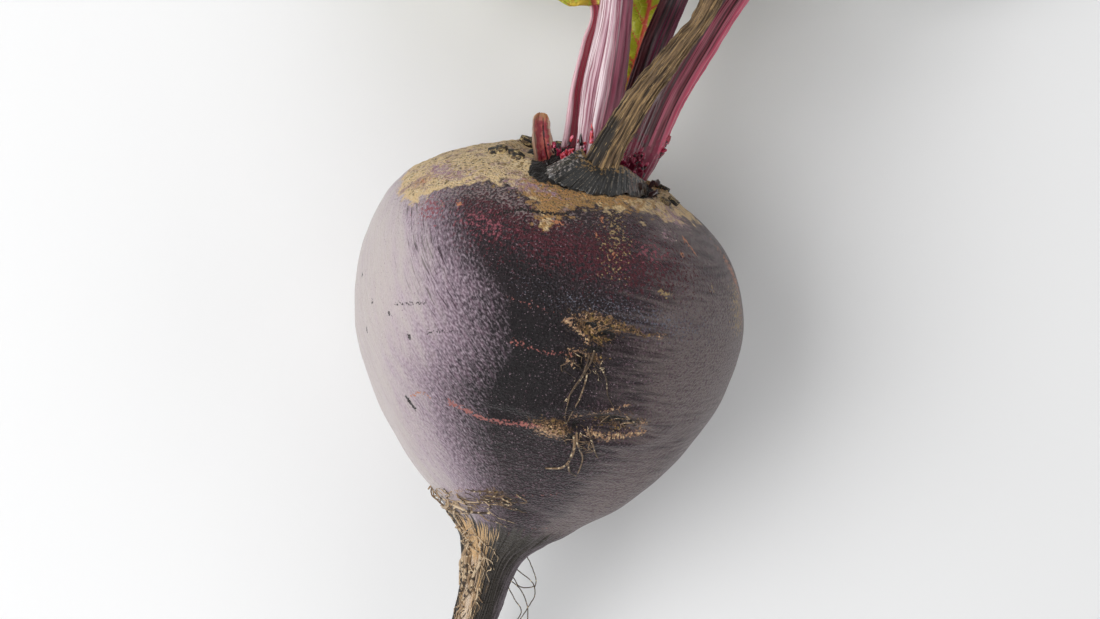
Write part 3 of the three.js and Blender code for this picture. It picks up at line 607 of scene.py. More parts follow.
# %% [markdown]
# The skin of a beet isn't smooth. It has low waves, fine wrinkles that run aslant over the left cheek
# where it dried, lumps of cork at the shoulder and round the scars, and long fibres of bark on the neck
# and tail. They could be a bump in the material alone, but then the outline would stay smooth. So the
# coarse ones move the points of the mesh, in a Geometry Nodes tree with one depth for each, and only the
# finest stay in the material. A noise runs from 0 to 1, so it is centred and doubled, and its depth is
# then how far it can move the skin each way.

# %% Relief of the skin
ON_TABLE = (-9, -9, 0.02 * MM)  # no point may sink under this height, and x and y stay free
relief, given = shape_tree(
    "skin_relief",
    {
        "Wave Depth": ("Float", 0.35 * MM),
        "Wrinkle Depth": ("Float", 0.2 * MM),
        "Cork Depth": ("Float", 0.5 * MM),
        "Bark Depth": ("Float", 1.0 * MM),
        "Crown Depth": ("Float", 1.2 * MM),
        "Lip Height": ("Float", 0.5 * MM),
        "Pit Depth": ("Float", 1.1 * MM),
    },
)
place = add(relief, "GeometryNodeInputPosition").outputs[0]
laid = add(relief, "GeometryNodeInputNamedAttribute", {"Name": "laid"}, data_type="FLOAT_VECTOR").outputs[0]
masks = {
    name: add(relief, "GeometryNodeInputNamedAttribute", {"Name": name}, data_type="FLOAT").outputs[0]
    for name in ("cork", "crown", "bloom", "bark", "wound", "lip", "groove")
}
tilt = {"Vector": laid, "Angle": math.radians(-48)}
turned = add(relief, "ShaderNodeVectorRotate", tilt, rotation_type="Z_AXIS")
aslant = add(relief, "ShaderNodeVectorMath", {0: turned.outputs[0], 1: (5, 1, 1)}, operation="DIVIDE")
lengthways = add(relief, "ShaderNodeVectorMath", {0: laid, 1: (1, 7, 1)}, operation="DIVIDE")
bumps = [
    # input, where its pattern lies, size in mm, detail, masks it follows
    ("Wave Depth", place, 11, 1, ()),
    ("Wrinkle Depth", aslant.outputs[0], 1.9, 2, ("bloom",)),
    ("Cork Depth", place, 1.6, 3, ("cork", "wound")),
    ("Bark Depth", lengthways.outputs[0], 1.7, 3, ("bark",)),
    ("Crown Depth", place, 3.2, 4, ("crown",)),
]
height = None
for label, vector, size, detail, where in bumps:
    noise = add(relief, "ShaderNodeTexNoise", {"Vector": vector, "Scale": per(size), "Detail": detail})
    bump = add(relief, "ShaderNodeMath", {0: noise.outputs[0], 1: -0.5}, operation="ADD").outputs[0]
    bump = add(relief, "ShaderNodeMath", {0: bump, 1: given[label]}, operation="MULTIPLY").outputs[0]
    bump = add(relief, "ShaderNodeMath", {0: bump, 1: 2.0}, operation="MULTIPLY").outputs[0]
    if where:
        mask = masks[where[0]]
        for other in where[1:]:
            mask = add(relief, "ShaderNodeMath", {0: mask, 1: masks[other]}, operation="MAXIMUM").outputs[0]
        bump = add(relief, "ShaderNodeMath", {0: bump, 1: mask}, operation="MULTIPLY").outputs[0]
    height = bump if height is None else add(relief, "ShaderNodeMath", {0: height, 1: bump}).outputs[0]
torn = add(relief, "ShaderNodeMath", {0: masks["wound"], 1: masks["lip"]}).outputs[0]
lip = add(relief, "ShaderNodeMath", {0: torn, 1: given["Lip Height"]}, operation="MULTIPLY").outputs[0]
dug_out = {0: masks["groove"], 1: given["Pit Depth"]}
pit = add(relief, "ShaderNodeMath", dug_out, operation="MULTIPLY").outputs[0]
height = add(relief, "ShaderNodeMath", {0: height, 1: lip}).outputs[0]
height = add(relief, "ShaderNodeMath", {0: height, 1: pit}, operation="SUBTRACT").outputs[0]
normal = add(relief, "GeometryNodeInputNormal").outputs[0]
offset = add(relief, "ShaderNodeVectorMath", {0: normal, "Scale": height}, operation="SCALE").outputs[0]
moved = add(relief, "ShaderNodeVectorMath", {0: place, 1: offset}).outputs[0]
above = add(relief, "ShaderNodeVectorMath", {0: moved, 1: ON_TABLE}, operation="MAXIMUM").outputs[0]
shaped = add(relief, "GeometryNodeSetPosition", {"Geometry": given["Geometry"], "Position": above})
close_tree(relief, shaped.outputs[0], given["Finish"])
print("relief tree:", len(relief.nodes), "nodes")

# %% [markdown]
# The colours of a skin lie over each other like coats of paint, each with a mask. Where a mask is 1 a coat
# covers all, and where it is a half the coat covers every second grain, so that soft masks still end in
# crisp specks. The three helpers below start a material, break a mask up into grains, and lay the coats,
# for every material of this beet.


# %% Coats of colour
def start_material(name, roughness, **more):
    """A material with its tree, its surface shader and its Object coordinates. more holds plain numbers."""
    material = bpy.data.materials.new(name)
    material.use_nodes = True
    shader = material.node_tree.nodes["Principled BSDF"]
    shader.inputs["Roughness"].default_value = roughness
    for socket, value in more.items():
        shader.inputs[socket.replace("_", " ")].default_value = value
    in_object = add(material.node_tree, "ShaderNodeTexCoord").outputs["Object"]
    return material, material.node_tree, shader, in_object


def grains(tree, vector, size, mask, soft=0.06, detail=3, share=1.0):
    """A mask broken up into grains of a size in mm: none where it is 0, every second at a half, all at 1."""
    cloud = {"Vector": vector, "Scale": per(size), "Detail": detail}
    noise = add(tree, "ShaderNodeTexNoise", cloud).outputs[0]
    wider = add(tree, "ShaderNodeMath", {0: noise, 1: 1.9, 2: -0.45}, operation="MULTIPLY_ADD").outputs[0]
    total = add(tree, "ShaderNodeMath", {0: mask, 1: share, 2: wider}, operation="MULTIPLY_ADD").outputs[0]
    spread = {"Value": total, "From Min": 1 - soft, "From Max": 1 + soft}
    grain = add(tree, "ShaderNodeMapRange", spread, interpolation_type="SMOOTHSTEP").outputs[0]
    limit = add(tree, "ShaderNodeMath", {0: mask, 1: 8.0}, operation="MULTIPLY").outputs[0]
    return add(tree, "ShaderNodeMath", {0: grain, 1: limit}, operation="MINIMUM").outputs[0]


def coats(tree, under, layers):
    """Lays colours over each other. Each layer is a colour, and a mask or a number for how much it hides."""
    for code, mask in layers:
        mixed = {0: mask, 6: under, 7: colour(code)}
        under = add(tree, "ShaderNodeMix", mixed, data_type="RGBA").outputs[2]
    return under


# %% [markdown]
# The root's skin is a thin cork over purple flesh, and it was only brushed clean. So it is satin, with no
# clear coat: a roughness of 0.4 gives the bare skin a wide, soft shine, 0.8 leaves the cork and the bark
# dull, and a little sheen makes the edges look dusty. The index of refraction is 1.45, as for most plant
# skins. The real specks are down to 0.1 mm wide, half a pixel of the picture, so the finest are drawn
# about 0.45 mm wide. Patterns that run round the root, down it or aslant are the skin's flat map, turned
# and then stretched.

# %% Skin of the root
skin, tree, shader, space = start_material(
    "beet_skin_satin_cork", 0.42, IOR=1.45, Specular_IOR_Level=0.3, Sheen_Weight=0.12, Sheen_Roughness=0.45
)
on_skin = add(tree, "ShaderNodeUVMap", uv_map="skin").outputs[0]
mask = {name: add(tree, "ShaderNodeAttribute", attribute_name=name).outputs["Fac"] for name in skin_values}
on_right = add(tree, "ShaderNodeMath", {0: mask["cork"], 1: mask["brown"]}, operation="MULTIPLY").outputs[0]
# the turn in degrees, and how far the pattern is drawn out round the root and down it
DRAWN_OUT = [(48, 3.6, 1), (40, 2, 1), (35, 10, 1), (0, 9, 1), (0, 1, 8)]
slant, short, creased, round_it, down_it = (
    add(
        tree, "ShaderNodeMapping",
        {"Vector": on_skin, "Rotation": (0, 0, math.radians(degrees)), "Scale": (wider, taller, 1)},
        vector_type="TEXTURE",
    ).outputs[0]
    for degrees, wider, taller in DRAWN_OUT
)  # fmt: skip
print("directions on the skin:", len(DRAWN_OUT))

# %% [markdown]
# The coats go on from the deepest to the uppermost: purple-brown flesh, the dust and painted reflection of
# the flank, the nearly black top with its painted shade, red specks below the shoulder, the bloom of the
# cheek with its painted sheen and highlight and the painted shade of its creases, cork, stains and scratches,
# the torn scars with painted shade in their grooves, bark, and last the black ring of the crown.

# %% Coats of the root's skin
skin_colour = coats(
    tree,
    colour("#2a1c23"),
    [
        ("#38262d", grains(tree, space, 6, 0.45, 0.2)),
        # partly dust, partly a painted reflection of the table: the paler right flank
        ("#756866", grains(tree, round_it, 1.0, mask["flank"], 0.4)),
        # the skin's own dark colour with painted shade: the nearly black top
        ("#0d090b", mask["dark"]),
        ("#56424a", grains(tree, space, 0.55, mask["speck"], 0.1)),
        ("#471620", grains(tree, space, 0.7, mask["red"], 0.12)),
        ("#632a38", grains(tree, space, 0.45, mask["red"], 0.1, share=0.5)),
        ("#62626e", grains(tree, space, 0.45, mask["slate"], 0.12)),
        # painted sheen: the purple rim of the pale cheek
        ("#6c586b", mask["violet"]),
        # partly dust, partly painted sheen: the pale left cheek
        ("#735a69", grains(tree, slant, 0.8, mask["bloom"], 0.5)),
        ("#bba9b4", grains(tree, short, 0.42, mask["bloom"], 0.55, share=0.97)),
        # painted shade in the creases
        ("#3f2e38", grains(tree, creased, 0.5, mask["crease"], 0.14)),
        # painted highlight along the left rim, over a little dust
        ("#c0b5b2", grains(tree, slant, 2.4, mask["edge"], 0.7)),
        ("#8b7780", grains(tree, space, 0.4, 0.16, 0.05)),
        ("#8c7c7b", grains(tree, space, 0.55, mask["haze"], 0.2)),
        ("#8c4d57", grains(tree, space, 0.7, mask["blush"], 0.1)),
        ("#a58b62", grains(tree, space, 0.65, mask["streak"], 0.12)),
        ("#d6ba8d", grains(tree, space, 2.6, mask["cork"], 0.14, 5)),
        ("#a98b7e", grains(tree, space, 3.6, mask["cork"], 0.14, share=0.4)),
        ("#a47e4e", grains(tree, space, 1.6, on_right, 0.15, 5)),
        ("#8d7344", grains(tree, space, 1.2, mask["cork"], 0.08, share=0.36)),
        ("#dcc7a2", grains(tree, space, 0.6, mask["cork"], share=0.38)),
        ("#5d4a35", grains(tree, space, 0.7, mask["cork"], share=0.26)),
        ("#3b2c1b", grains(tree, space, 0.6, on_right, share=0.4)),
        ("#c08a52", grains(tree, space, 0.5, on_right, share=0.42)),
        ("#a4808b", grains(tree, space, 1.0, mask["wine"], 0.3, 5)),
        ("#c6b6a6", grains(tree, space, 0.6, mask["wine"], share=0.6)),
        ("#b97a58", grains(tree, space, 0.6, mask["orange"], 0.1)),
        ("#a0625c", grains(tree, space, 0.6, mask["pink"], 0.1)),
        ("#684d33", grains(tree, space, 0.8, mask["wound"], 0.15, 5)),
        ("#84693a", grains(tree, space, 0.9, mask["wound"], 0.1, share=0.55)),
        ("#281c12", grains(tree, space, 0.8, mask["wound"], share=0.62)),
        ("#b08a68", grains(tree, space, 0.45, mask["wound"], share=0.4)),
        ("#a07c60", grains(tree, space, 0.6, mask["lip"], 0.12)),
        ("#cdae87", grains(tree, space, 0.5, mask["lip"], share=0.66)),
        # painted shade: the dug-out groove of each scar is nearly black
        ("#140f0c", grains(tree, space, 0.8, mask["groove"], 0.12)),
        ("#1b1210", grains(tree, space, 0.4, mask["pit"], 0.1)),
        ("#45403b", grains(tree, down_it, 1.6, mask["bark"], 0.2)),
        ("#857a80", grains(tree, down_it, 1.4, mask["mauve"], 0.35)),
        ("#d8b487", grains(tree, down_it, 0.9, mask["ochre"], 0.08)),
        ("#e0ccb6", grains(tree, down_it, 1.2, mask["flaps"], 0.08)),
        ("#1a1512", grains(tree, space, 2.0, mask["crown"], 0.15)),
    ],
)
print("coats on the skin:", sum(node.bl_idname == "ShaderNodeMix" for node in tree.nodes))

# %% [markdown]
# The finest relief is only a bump in the material: grain everywhere, slanting creases under the bloom and
# fine hoops round the rest, weaker at the far left where the skin is smooth. Then the skin is put on the
# mesh, and the piece takes the place of the solid root.

# %% Grain and shine of the root's skin
fine = add(tree, "ShaderNodeTexNoise", {"Vector": space, "Scale": per(0.55), "Detail": 2}).outputs[0]
creases = add(tree, "ShaderNodeTexNoise", {"Vector": creased, "Scale": per(0.9), "Detail": 2}).outputs[0]
hoops = add(tree, "ShaderNodeTexNoise", {"Vector": round_it, "Scale": per(0.9), "Detail": 2}).outputs[0]
hoops = add(tree, "ShaderNodeMath", {0: hoops, 1: 0.5}, operation="MULTIPLY").outputs[0]
pattern = add(tree, "ShaderNodeMix", {0: mask["bloom"], 2: hoops, 3: creases}).outputs[0]
pattern = add(tree, "ShaderNodeMath", {0: pattern, 1: fine}).outputs[0]
grain_depth = {"Value": mask["edge"], "To Min": 0.9 * MM, "To Max": 0.4 * MM}
depth = add(tree, "ShaderNodeMapRange", grain_depth).outputs[0]
bump = add(tree, "ShaderNodeBump", {"Height": pattern, "Strength": 0.9, "Distance": depth})
dry = add(tree, "ShaderNodeMath", {0: mask["cork"], 1: mask["bark"]}, operation="MAXIMUM").outputs[0]
rough = add(tree, "ShaderNodeMapRange", {"Value": dry, "To Min": 0.4, "To Max": 0.8}).outputs[0]
for socket, value in {"Base Color": skin_colour, "Normal": bump.outputs[0], "Roughness": rough}.items():
    tree.links.new(value, shader.inputs[socket])
run_tree(root_skin, relief, finish=skin)
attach(root_skin, "root")
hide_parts("root")

# %% [markdown]
# Side roots grow out of the two scars in front, and thin fibres hang from the neck and the tail. Each is
# a line that wanders over the skin. The lines are drawn as bare edges with a thickness at each point, and
# one Geometry Nodes tree turns them all to tubes: it smooths and re-cuts a line, shakes it a little, and
# sweeps a small circle along it. So a root is changed by moving its line, and all keep the same look.

# %% Tubes along lines
strands, given = shape_tree(
    "strands",
    {
        "Cut": ("Float", 0.8 * MM),
        "Shake": ("Float", 0.4 * MM),
        "Grain": ("Float", 3 * MM),
        "Sides": ("Int", 6),
    },
)
line = add(strands, "GeometryNodeMeshToCurve", {0: given["Geometry"]})
line = add(strands, "GeometryNodeCurveSplineType", {0: line.outputs[0]}, spline_type="CATMULL_ROM")
pieces = {"Curve": line.outputs[0], "Length": given["Cut"]}
line = add(strands, "GeometryNodeResampleCurve", pieces, mode="LENGTH")
where = add(strands, "GeometryNodeInputPosition").outputs[0]
scale = add(strands, "ShaderNodeMath", {0: 1.0, 1: given["Grain"]}, operation="DIVIDE").outputs[0]
shaken = add(strands, "ShaderNodeTexNoise", {"Vector": where, "Scale": scale, "Detail": 2}).outputs[1]
shaken = add(strands, "ShaderNodeVectorMath", {0: shaken, 1: (0.5, 0.5, 0.5)}, operation="SUBTRACT")
shaken = {0: shaken.outputs[0], "Scale": given["Shake"]}
shaken = add(strands, "ShaderNodeVectorMath", shaken, operation="SCALE").outputs[0]
line = add(strands, "GeometryNodeSetPosition", {"Geometry": line.outputs[0], "Offset": shaken})
thick = add(strands, "GeometryNodeInputNamedAttribute", {"Name": "thick"}, data_type="FLOAT").outputs[0]
circle = add(strands, "GeometryNodeCurvePrimitiveCircle", {"Resolution": given["Sides"], "Radius": 1.0})
tubes = add(
    strands, "GeometryNodeCurveToMesh",
    {"Curve": line.outputs[0], "Profile Curve": circle.outputs[0], "Scale": thick, "Fill Caps": True},
)  # fmt: skip
round_tubes = add(strands, "GeometryNodeSetShadeSmooth", {"Geometry": tubes.outputs[0]})
close_tree(strands, round_tubes.outputs[0], given["Finish"])
print("strands tree:", len(strands.nodes), "nodes")


def lines_mesh(name, lines):
    """Bare edges from lines: the points of each, its radius at each point, and its tone from 0 to 1."""
    mesh = bpy.data.meshes.new(name)
    spots, edges, radii, tones = [], [], [], []
    for points, radius, tone in lines:
        first = len(spots)
        spots += [tuple(p * MM) for p in points]
        edges += [(first + i, first + i + 1) for i in range(len(points) - 1)]
        radii += list(np.broadcast_to(radius, len(points)) * MM)
        tones += [tone] * len(points)
    mesh.from_pydata(spots, edges, [])
    for label, values in (("thick", radii), ("tone", tones)):
        mesh.attributes.new(label, "FLOAT", "POINT").data.foreach_set("value", np.array(values, np.float32))
    return in_scene(name, mesh)


# %% [markdown]
# The thickest side roots are solid in the model too, so their lines are the same here: nine that were
# placed one by one at the two scars, and tufts at the neck, the tail and the underside that are thrown by
# chance. The chance is a counted one, which gives the same row of numbers each time. A place on a line is
# a distance along the axis, an angle, and a height over the skin. One pale root lies across the neck.

# %% The side roots of the solid model
MAIN_SIDE_ROOTS = [
    # radius in mm, and the places
    (0.26, [[5, 74.5, -0.8], [1.5, 75.4, 0.5], [-4, 77.5, 0.4], [-8, 79.6, -0.2]]),
    (0.22, [[4.5, 75.5, -0.8], [0.5, 76.2, 0.7], [-4.5, 78, 0.5], [-7.4, 78.8, 0]]),
    (0.24, [[2, 75, -0.8], [-2.6, 75, 0.6], [-7, 75.7, 0.5], [-13, 76.8, 0.1]]),
    (0.15, [[-5.4, 78.4, 0.3], [-9, 78.3, 0.4], [-13, 77, 0]]),
    (0.18, [[3, 73, -0.8], [-0.5, 69.5, 0.5], [-4, 67.6, 0.3], [-7, 64, 0]]),
    (0.42, [[-13.5, 74, -1.2], [-17, 72.3, 0.8], [-21.5, 72, 0.7], [-23.5, 74, 0.5], [-24.5, 78.5, 0.2]]),
    (0.26, [[-21.5, 72, 0.5], [-23.5, 70, 0.6], [-24.5, 68, 0.4], [-25.2, 66, 0]]),
    (0.3, [[-13, 73, -1], [-15.8, 72, 0.8], [-18.5, 69, 0.7], [-21, 67, 0.4], [-24.5, 66, 0]]),
    (0.26, [[-12, 70.5, -1], [-15, 67.5, 0.7], [-17.5, 65, 0.5], [-19.5, 62, 0]]),
]
TUFTS = [
    # count, along, reach, angle, spread, length, drift, lift, radius
    (2, -42, 2, 132, 8, 10, 14, 1.6, 0.4),
    (10, -54, 6, 127, 18, 12, 30, 1.2, 0.52),
    (3, -24, 3, 216, 10, 13, 8, 0.7, 0.5),
    (3, -86, 12, 60, 70, 15, 26, 1.6, 0.42),
]


def growth(seed):
    """An endless row of numbers from 0 to 1 that look thrown, but are the same for the same seed."""
    while True:
        seed = seed * 16807 % 2147483647
        yield seed % 100000 / 100000


chance = growth(11)


def between(low, high):
    """The next chance number, laid between two values."""
    return low + (high - low) * next(chance)


runs = list(MAIN_SIDE_ROOTS)
for count, middle, reach, degrees, spread, length_mm, drift, lift, thickness in TUFTS:
    for _ in range(count):
        start, begin = middle + between(-reach, reach), degrees + between(-spread, spread)
        long = length_mm * between(0.6, 1)
        bend = [drift * between(-1, 1) for _ in range(3)]
        width = thickness * between(0.75, 1.1)
        runs.append(
            (
                width,
                [
                    [start, begin, -1],
                    [start - long * 0.25, begin + bend[0] * 0.4, lift * between(0.5, 1)],
                    [start - long * 0.6, begin + bend[0] * 0.7 + bend[1] * 0.5, lift * between(0.3, 1)],
                    [start - long, begin + bend[1] * 0.8 + bend[2] * 0.6, lift * between(-0.3, 0.6)],
                ],
            )
        )


def on_root(run, count):
    """Points along a run of [along, angle, height over the skin]."""
    run = np.array(run, float)
    points = root_point(share_at(run[:, 0]), run[:, 1], run[:, 2])
    return spline(points, np.linspace(0, 1, count))


PALE_ROOT, PALE_RADIUS = [[-41.6, 124, 0.8], [-41, 111, 1.3], [-40.3, 98, 0.6]], 0.3
DARK_TONES, PALE_TONES, NECK = (0.15, 0.45), (0.5, 0.95), -30
side_roots = []
for width, run in runs:
    taper = width * np.linspace(0.95, 0.4, 9)
    tone = between(*(DARK_TONES if run[0][0] > NECK else PALE_TONES))
    side_roots.append((on_root(run, 9), taper, tone))
side_roots.append((on_root(PALE_ROOT, 9), PALE_RADIUS, 1.0))
print("side roots:", len(side_roots))

# %% [markdown]
# Finer fibres are too thin to be solids: branches at the scars, hair round the neck, strings on the tail,
# and five loops that stand off beside it. Each wanders over the skin in six steps, and its end is thinner
# than its foot. Real ones are down to 0.1 mm thick, half a pixel of the picture, so they are drawn 0.2 to
# 0.45 mm thick.

# %% Branches and fine fibres
FIBRES = [
    # count, along, reach, angle, spread, length, drift, lift, radius, tone
    (10, 3.5, 2.2, 75.5, 4, 6, 7, 0.5, 0.1, 0.3),
    (10, -14, 1.5, 72, 7, 4, 9, 0.6, 0.11, 0.35),
    (6, -8.5, 1.2, 62, 7, 4.5, 6, 0.4, 0.12, 0.5),
    (12, -41.5, 1.5, 134, 6, 6, 30, 1.6, 0.2, 0.65),
    (9, -37.5, 1.5, 114, 7, 5, 24, 1.2, 0.18, 0.62),
    (12, -35, 1.8, 97, 5, 4, 24, 1.0, 0.15, 0.4),
    (22, -54, 8, 128, 20, 9, 40, 1.3, 0.2, 0.8),
    (12, -80, 18, 122, 34, 14, 40, 0.9, 0.22, 0.7),
    (8, -95, 20, 20, 150, 14, 50, 2.0, 0.14, 0.3),
    (12, -20, 6, 216, 12, 9, 14, 0.7, 0.16, 0.45),
]
fibres = []
for count, middle, reach, degrees, spread, length_mm, drift, lift, thickness, tone in FIBRES:
    for _ in range(count):
        start, begin = middle + between(-reach, reach), degrees + between(-spread, spread)
        long, walk_angle, run = length_mm * between(0.45, 1.1), begin, []
        for i in range(7):
            walk_angle += drift * between(-0.35, 0.35)
            rise = -0.4 if i == 0 else lift * between(-0.1, 1) * math.sin(math.pi * (0.15 + 0.8 * i / 6))
            run.append([start - long * i / 6 * between(0.85, 1.1), walk_angle, rise])
        line_points = on_root(run, 15)
        line_points[:, 2] = np.maximum(line_points[:, 2], thickness)
        own_tone = min(1, max(0, tone + between(-0.25, 0.25)))
        fibres.append((line_points, thickness * np.linspace(1.1, 0.35, 15), own_tone))
LOOP_RADIUS, LOOP_TONE = 0.13, 0.16
LOOPS = [
    [
        [-57.5, 20, 0.1], [-58.5, 6, 3], [-59.8, 0, 5], [-62.7, 0, 6.2], [-66, 0, 5.6], [-70.5, 0, 4.6],
        [-75, 4, 2],
    ],
    [[-59.5, 20, 0.1], [-61.4, 6, 2.2], [-60.8, 0, 4.6], [-59.8, 0, 5.2]],
    [[-60.5, 24, 0.1], [-62, 6, 2.6], [-66, 0, 5.4], [-71, 0, 7.5]],
    [[-53.5, 24, 0.1], [-55, 6, 1.5], [-58.3, 0, 4.8], [-60.2, 0, 5.4]],
    [[-62, 26, 0.1], [-65, 4, 2], [-67.5, 0, 4.6], [-72, 0, 3.6], [-77, 8, 0.4]],
]  # fmt: skip
fibres += [(on_root(run, 24), LOOP_RADIUS, LOOP_TONE) for run in LOOPS]
print("fine fibres:", len(fibres))

# %% [markdown]
# Dried roots are papery bark over wood. That is matt, so the roughness is 0.75, and the sheen stands for
# the fluff that catches light at their edges. Every strand has one tone, from soil brown to straw, and
# specks of the darkest and the palest break it up.

# %% Finish of the roots
root_fibre, tree, shader, space = start_material("dried_root_fibre", 0.75, Sheen_Weight=0.2)
tone = add(tree, "ShaderNodeAttribute", attribute_name="tone").outputs["Fac"]
ramp = add(tree, "ShaderNodeValToRGB", {"Fac": tone})
ROOT_TONES = [(0, "#2a1f17"), (0.3, "#5d4833"), (0.6, "#94785a"), (1, "#d2bb9b")]
for i, (at, code) in enumerate(ROOT_TONES):  # a new ramp has two stops already
    stop = ramp.color_ramp.elements[i] if i < 2 else ramp.color_ramp.elements.new(at)
    stop.position, stop.color = at, colour(code)
fibre_colour = coats(
    tree,
    ramp.outputs[0],
    [("#3a2a1d", grains(tree, space, 1.3, 0.4)), ("#d6c19f", grains(tree, space, 0.8, 0.28))],
)
bump = add(tree, "ShaderNodeTexNoise", {"Vector": space, "Scale": per(0.5)}).outputs[0]
bump = add(tree, "ShaderNodeBump", {"Height": bump, "Strength": 0.6, "Distance": 0.15 * MM})
tree.links.new(fibre_colour, shader.inputs["Base Color"])
tree.links.new(bump.outputs[0], shader.inputs["Normal"])

side_root_piece = run_tree(
    lines_mesh("side_roots", side_roots), strands, finish=root_fibre, sides=8, cut=0.6 * MM
)
fibre_piece = run_tree(
    lines_mesh("root_fibres", fibres), strands, finish=root_fibre, sides=5, shake=0.6 * MM
)
for piece in (side_root_piece, fibre_piece):
    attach(piece, "root")

# %% [markdown]
# A beet has five leaves here, a dead stalk and a cut stump. Each is given by the line that it follows, its
# widths and depths along that line, and the way its back faces. These are the solid model's numbers, in
# millimetres. A blade starts at a point of the line, has half a width, and folds up and ruffles.

# %% The lines of the leaves
# path in mm, back at both ends of it, how deep the front is hollowed, and pairs of ribs on the rod
LEAVES = {
    "leaf_front": dict(
        path=[
            [6.4, 29.5, 52.5], [8.4, 37, 54.5], [10.8, 50.1, 57.5], [13.4, 66.4, 59], [14.6, 86, 57.5],
            [12.5, 106, 51], [7, 126, 42], [0, 148, 31.5], [-5, 172, 20], [-9, 198, 8], [-12, 226, -4],
        ],
        back=[[-0.1, 0, 1], [0.1, 0.15, 1]], hollow=1.6, ribs=3,
        width=[6.8, 7.4, 9.4, 7.4, 6.6, 6.2, 5.6, 4.4, 3.2, 2.2, 1.2],
        depth=[3.4, 3.8, 4.2, 3.8, 3.4, 3.2, 2.8, 2.2, 1.6, 1.2, 0.9],
        blade=dict(start=5.5, half=30, fold=0.4, ruffle=4.5, waves=4.5, phase=0.4),
    ),
    "leaf_right": dict(
        path=[
            [15.5, 27.5, 50], [19.2, 35.2, 51.2], [25, 48.2, 52.6], [31.8, 59.6, 53.4], [38.6, 70, 53.4],
            [50, 85, 51], [65, 99, 45.5], [83, 111, 37.5], [102, 121, 27.5], [122, 129, 16.5], [143, 136, 6],
            [163, 142, -4],
        ],
        back=[[0.35, -0.2, 1], [0.15, 0.2, 1]], hollow=1.4, ribs=3,
        width=[4.6, 8.2, 8.4, 8.4, 7.8, 6.8, 6, 4.8, 3.8, 2.8, 1.8, 1.2],
        depth=[3, 4.4, 4, 3.8, 3.6, 3.2, 2.8, 2.4, 1.9, 1.5, 1.1, 0.9],
        blade=dict(start=5.3, half=28, fold=0.4, ruffle=4.5, waves=4.2, phase=2.1, ear=13),
    ),
    "leaf_middle": dict(
        path=[
            [12.2, 30, 42.5], [14.8, 38.5, 43.8], [19.2, 50.9, 45.4], [23.2, 62.2, 46.2], [27.8, 73, 44.6],
            [34, 88, 37.5], [41, 104, 26.5], [49, 122, 14.5], [57, 142, 5], [64, 165, -1], [69, 190, -4],
            [72, 216, -6],
        ],
        back=[[0.1, 0, -1], [0, -0.1, -1]], hollow=1.2, ribs=3,
        width=[5.4, 5.8, 5.9, 6, 5.8, 5.4, 5, 4.2, 3.4, 2.6, 1.8, 1.2],
        depth=[3, 3.2, 3.2, 3.2, 3, 2.8, 2.6, 2.2, 1.8, 1.4, 1.1, 0.9],
        blade=dict(start=5.8, half=28, fold=0.16, ruffle=4.5, waves=4.5, phase=1.2),
    ),
    "leaf_left": dict(
        path=[
            [1.4, 31.5, 49.4], [3.6, 39.9, 49.8], [5, 50.6, 50.8], [7.1, 60, 51.2], [9, 68.4, 50.8],
            [4, 79, 48], [-8, 89, 41], [-23, 98, 31], [-39, 106, 20], [-55, 113, 8], [-70, 119, -4],
        ],
        back=[[-0.7, 0, -0.5], [0.3, 0.1, -1]], hollow=0.3, ribs=2,
        width=[4.2, 3.8, 3, 2.4, 2, 1.9, 1.8, 1.6, 1.4, 1.2, 1],
        depth=[2.2, 2, 1.7, 1.5, 1.4, 1.3, 1.2, 1.1, 1, 0.9, 0.8],
        blade=dict(start=4.05, half=17, fold=0.3, ruffle=3, waves=4.5, phase=3.4),
    ),
    "leaf_young": dict(
        path=[
            [9.6, 32, 40.5], [12.6, 41, 40], [16.8, 52, 39.8], [19.4, 61.5, 40], [21.6, 71, 39.6],
            [22.6, 82, 37.6], [22, 93, 34], [20, 104, 29],
        ],
        back=[[0.1, 0, -1], [0, -0.2, -1]], hollow=0.2, ribs=2,
        width=[2, 1.8, 1.8, 1.8, 1.7, 1.4, 1.1, 0.9],
        depth=[1.4, 1.3, 1.2, 1.2, 1.1, 1, 0.9, 0.8],
        blade=dict(start=1.6, half=5.2, fold=0.25, ruffle=1.3, waves=4, phase=0.9),
    ),
}  # fmt: skip
DRIED_STALK = dict(
    path=[
        [8, 19.5, 64.8], [8, 25, 65.4], [9.4, 31, 66], [12, 36.8, 66], [14.8, 41.6, 66],
        [18, 46.8, 65.6], [21.9, 52, 65.2], [27, 58.6, 65], [31.2, 63.8, 65.2], [34, 69, 65.4],
        [38, 77, 64.6], [43, 86, 62], [49, 94, 57.6], [56, 100, 53],
    ],
    back=[[0.15, -0.2, 1], [-0.2, 0.5, 1]], hollow=0.5, ribs=2,
    width=[27, 21, 10, 7, 6.4, 6, 5.6, 5, 4.2, 5, 4.6, 5.4, 4.4, 1.4],
    depth=[7, 5.6, 2.6, 1.8, 1.6, 1.4, 1.3, 1.3, 1.4, 1.3, 1.2, 1.1, 1, 0.8],
)  # fmt: skip
STUMP = dict(
    path=[[-0.8, 29, 56.5], [-1.7, 33.5, 57], [-2.4, 37.5, 57.4], [-2.8, 41.5, 57.6], [-2.6, 45, 57.6]],
    back=[[-0.7, 0, -0.75], [-0.7, 0, -0.75]], hollow=1.7, ribs=2,
    width=[5, 5.6, 5.4, 5.1, 4.6], depth=[2.6, 2.6, 2.3, 1.9, 1.5],
)  # fmt: skip

print("lines:", len(LEAVES), "leaves, the dried stalk and the stump")

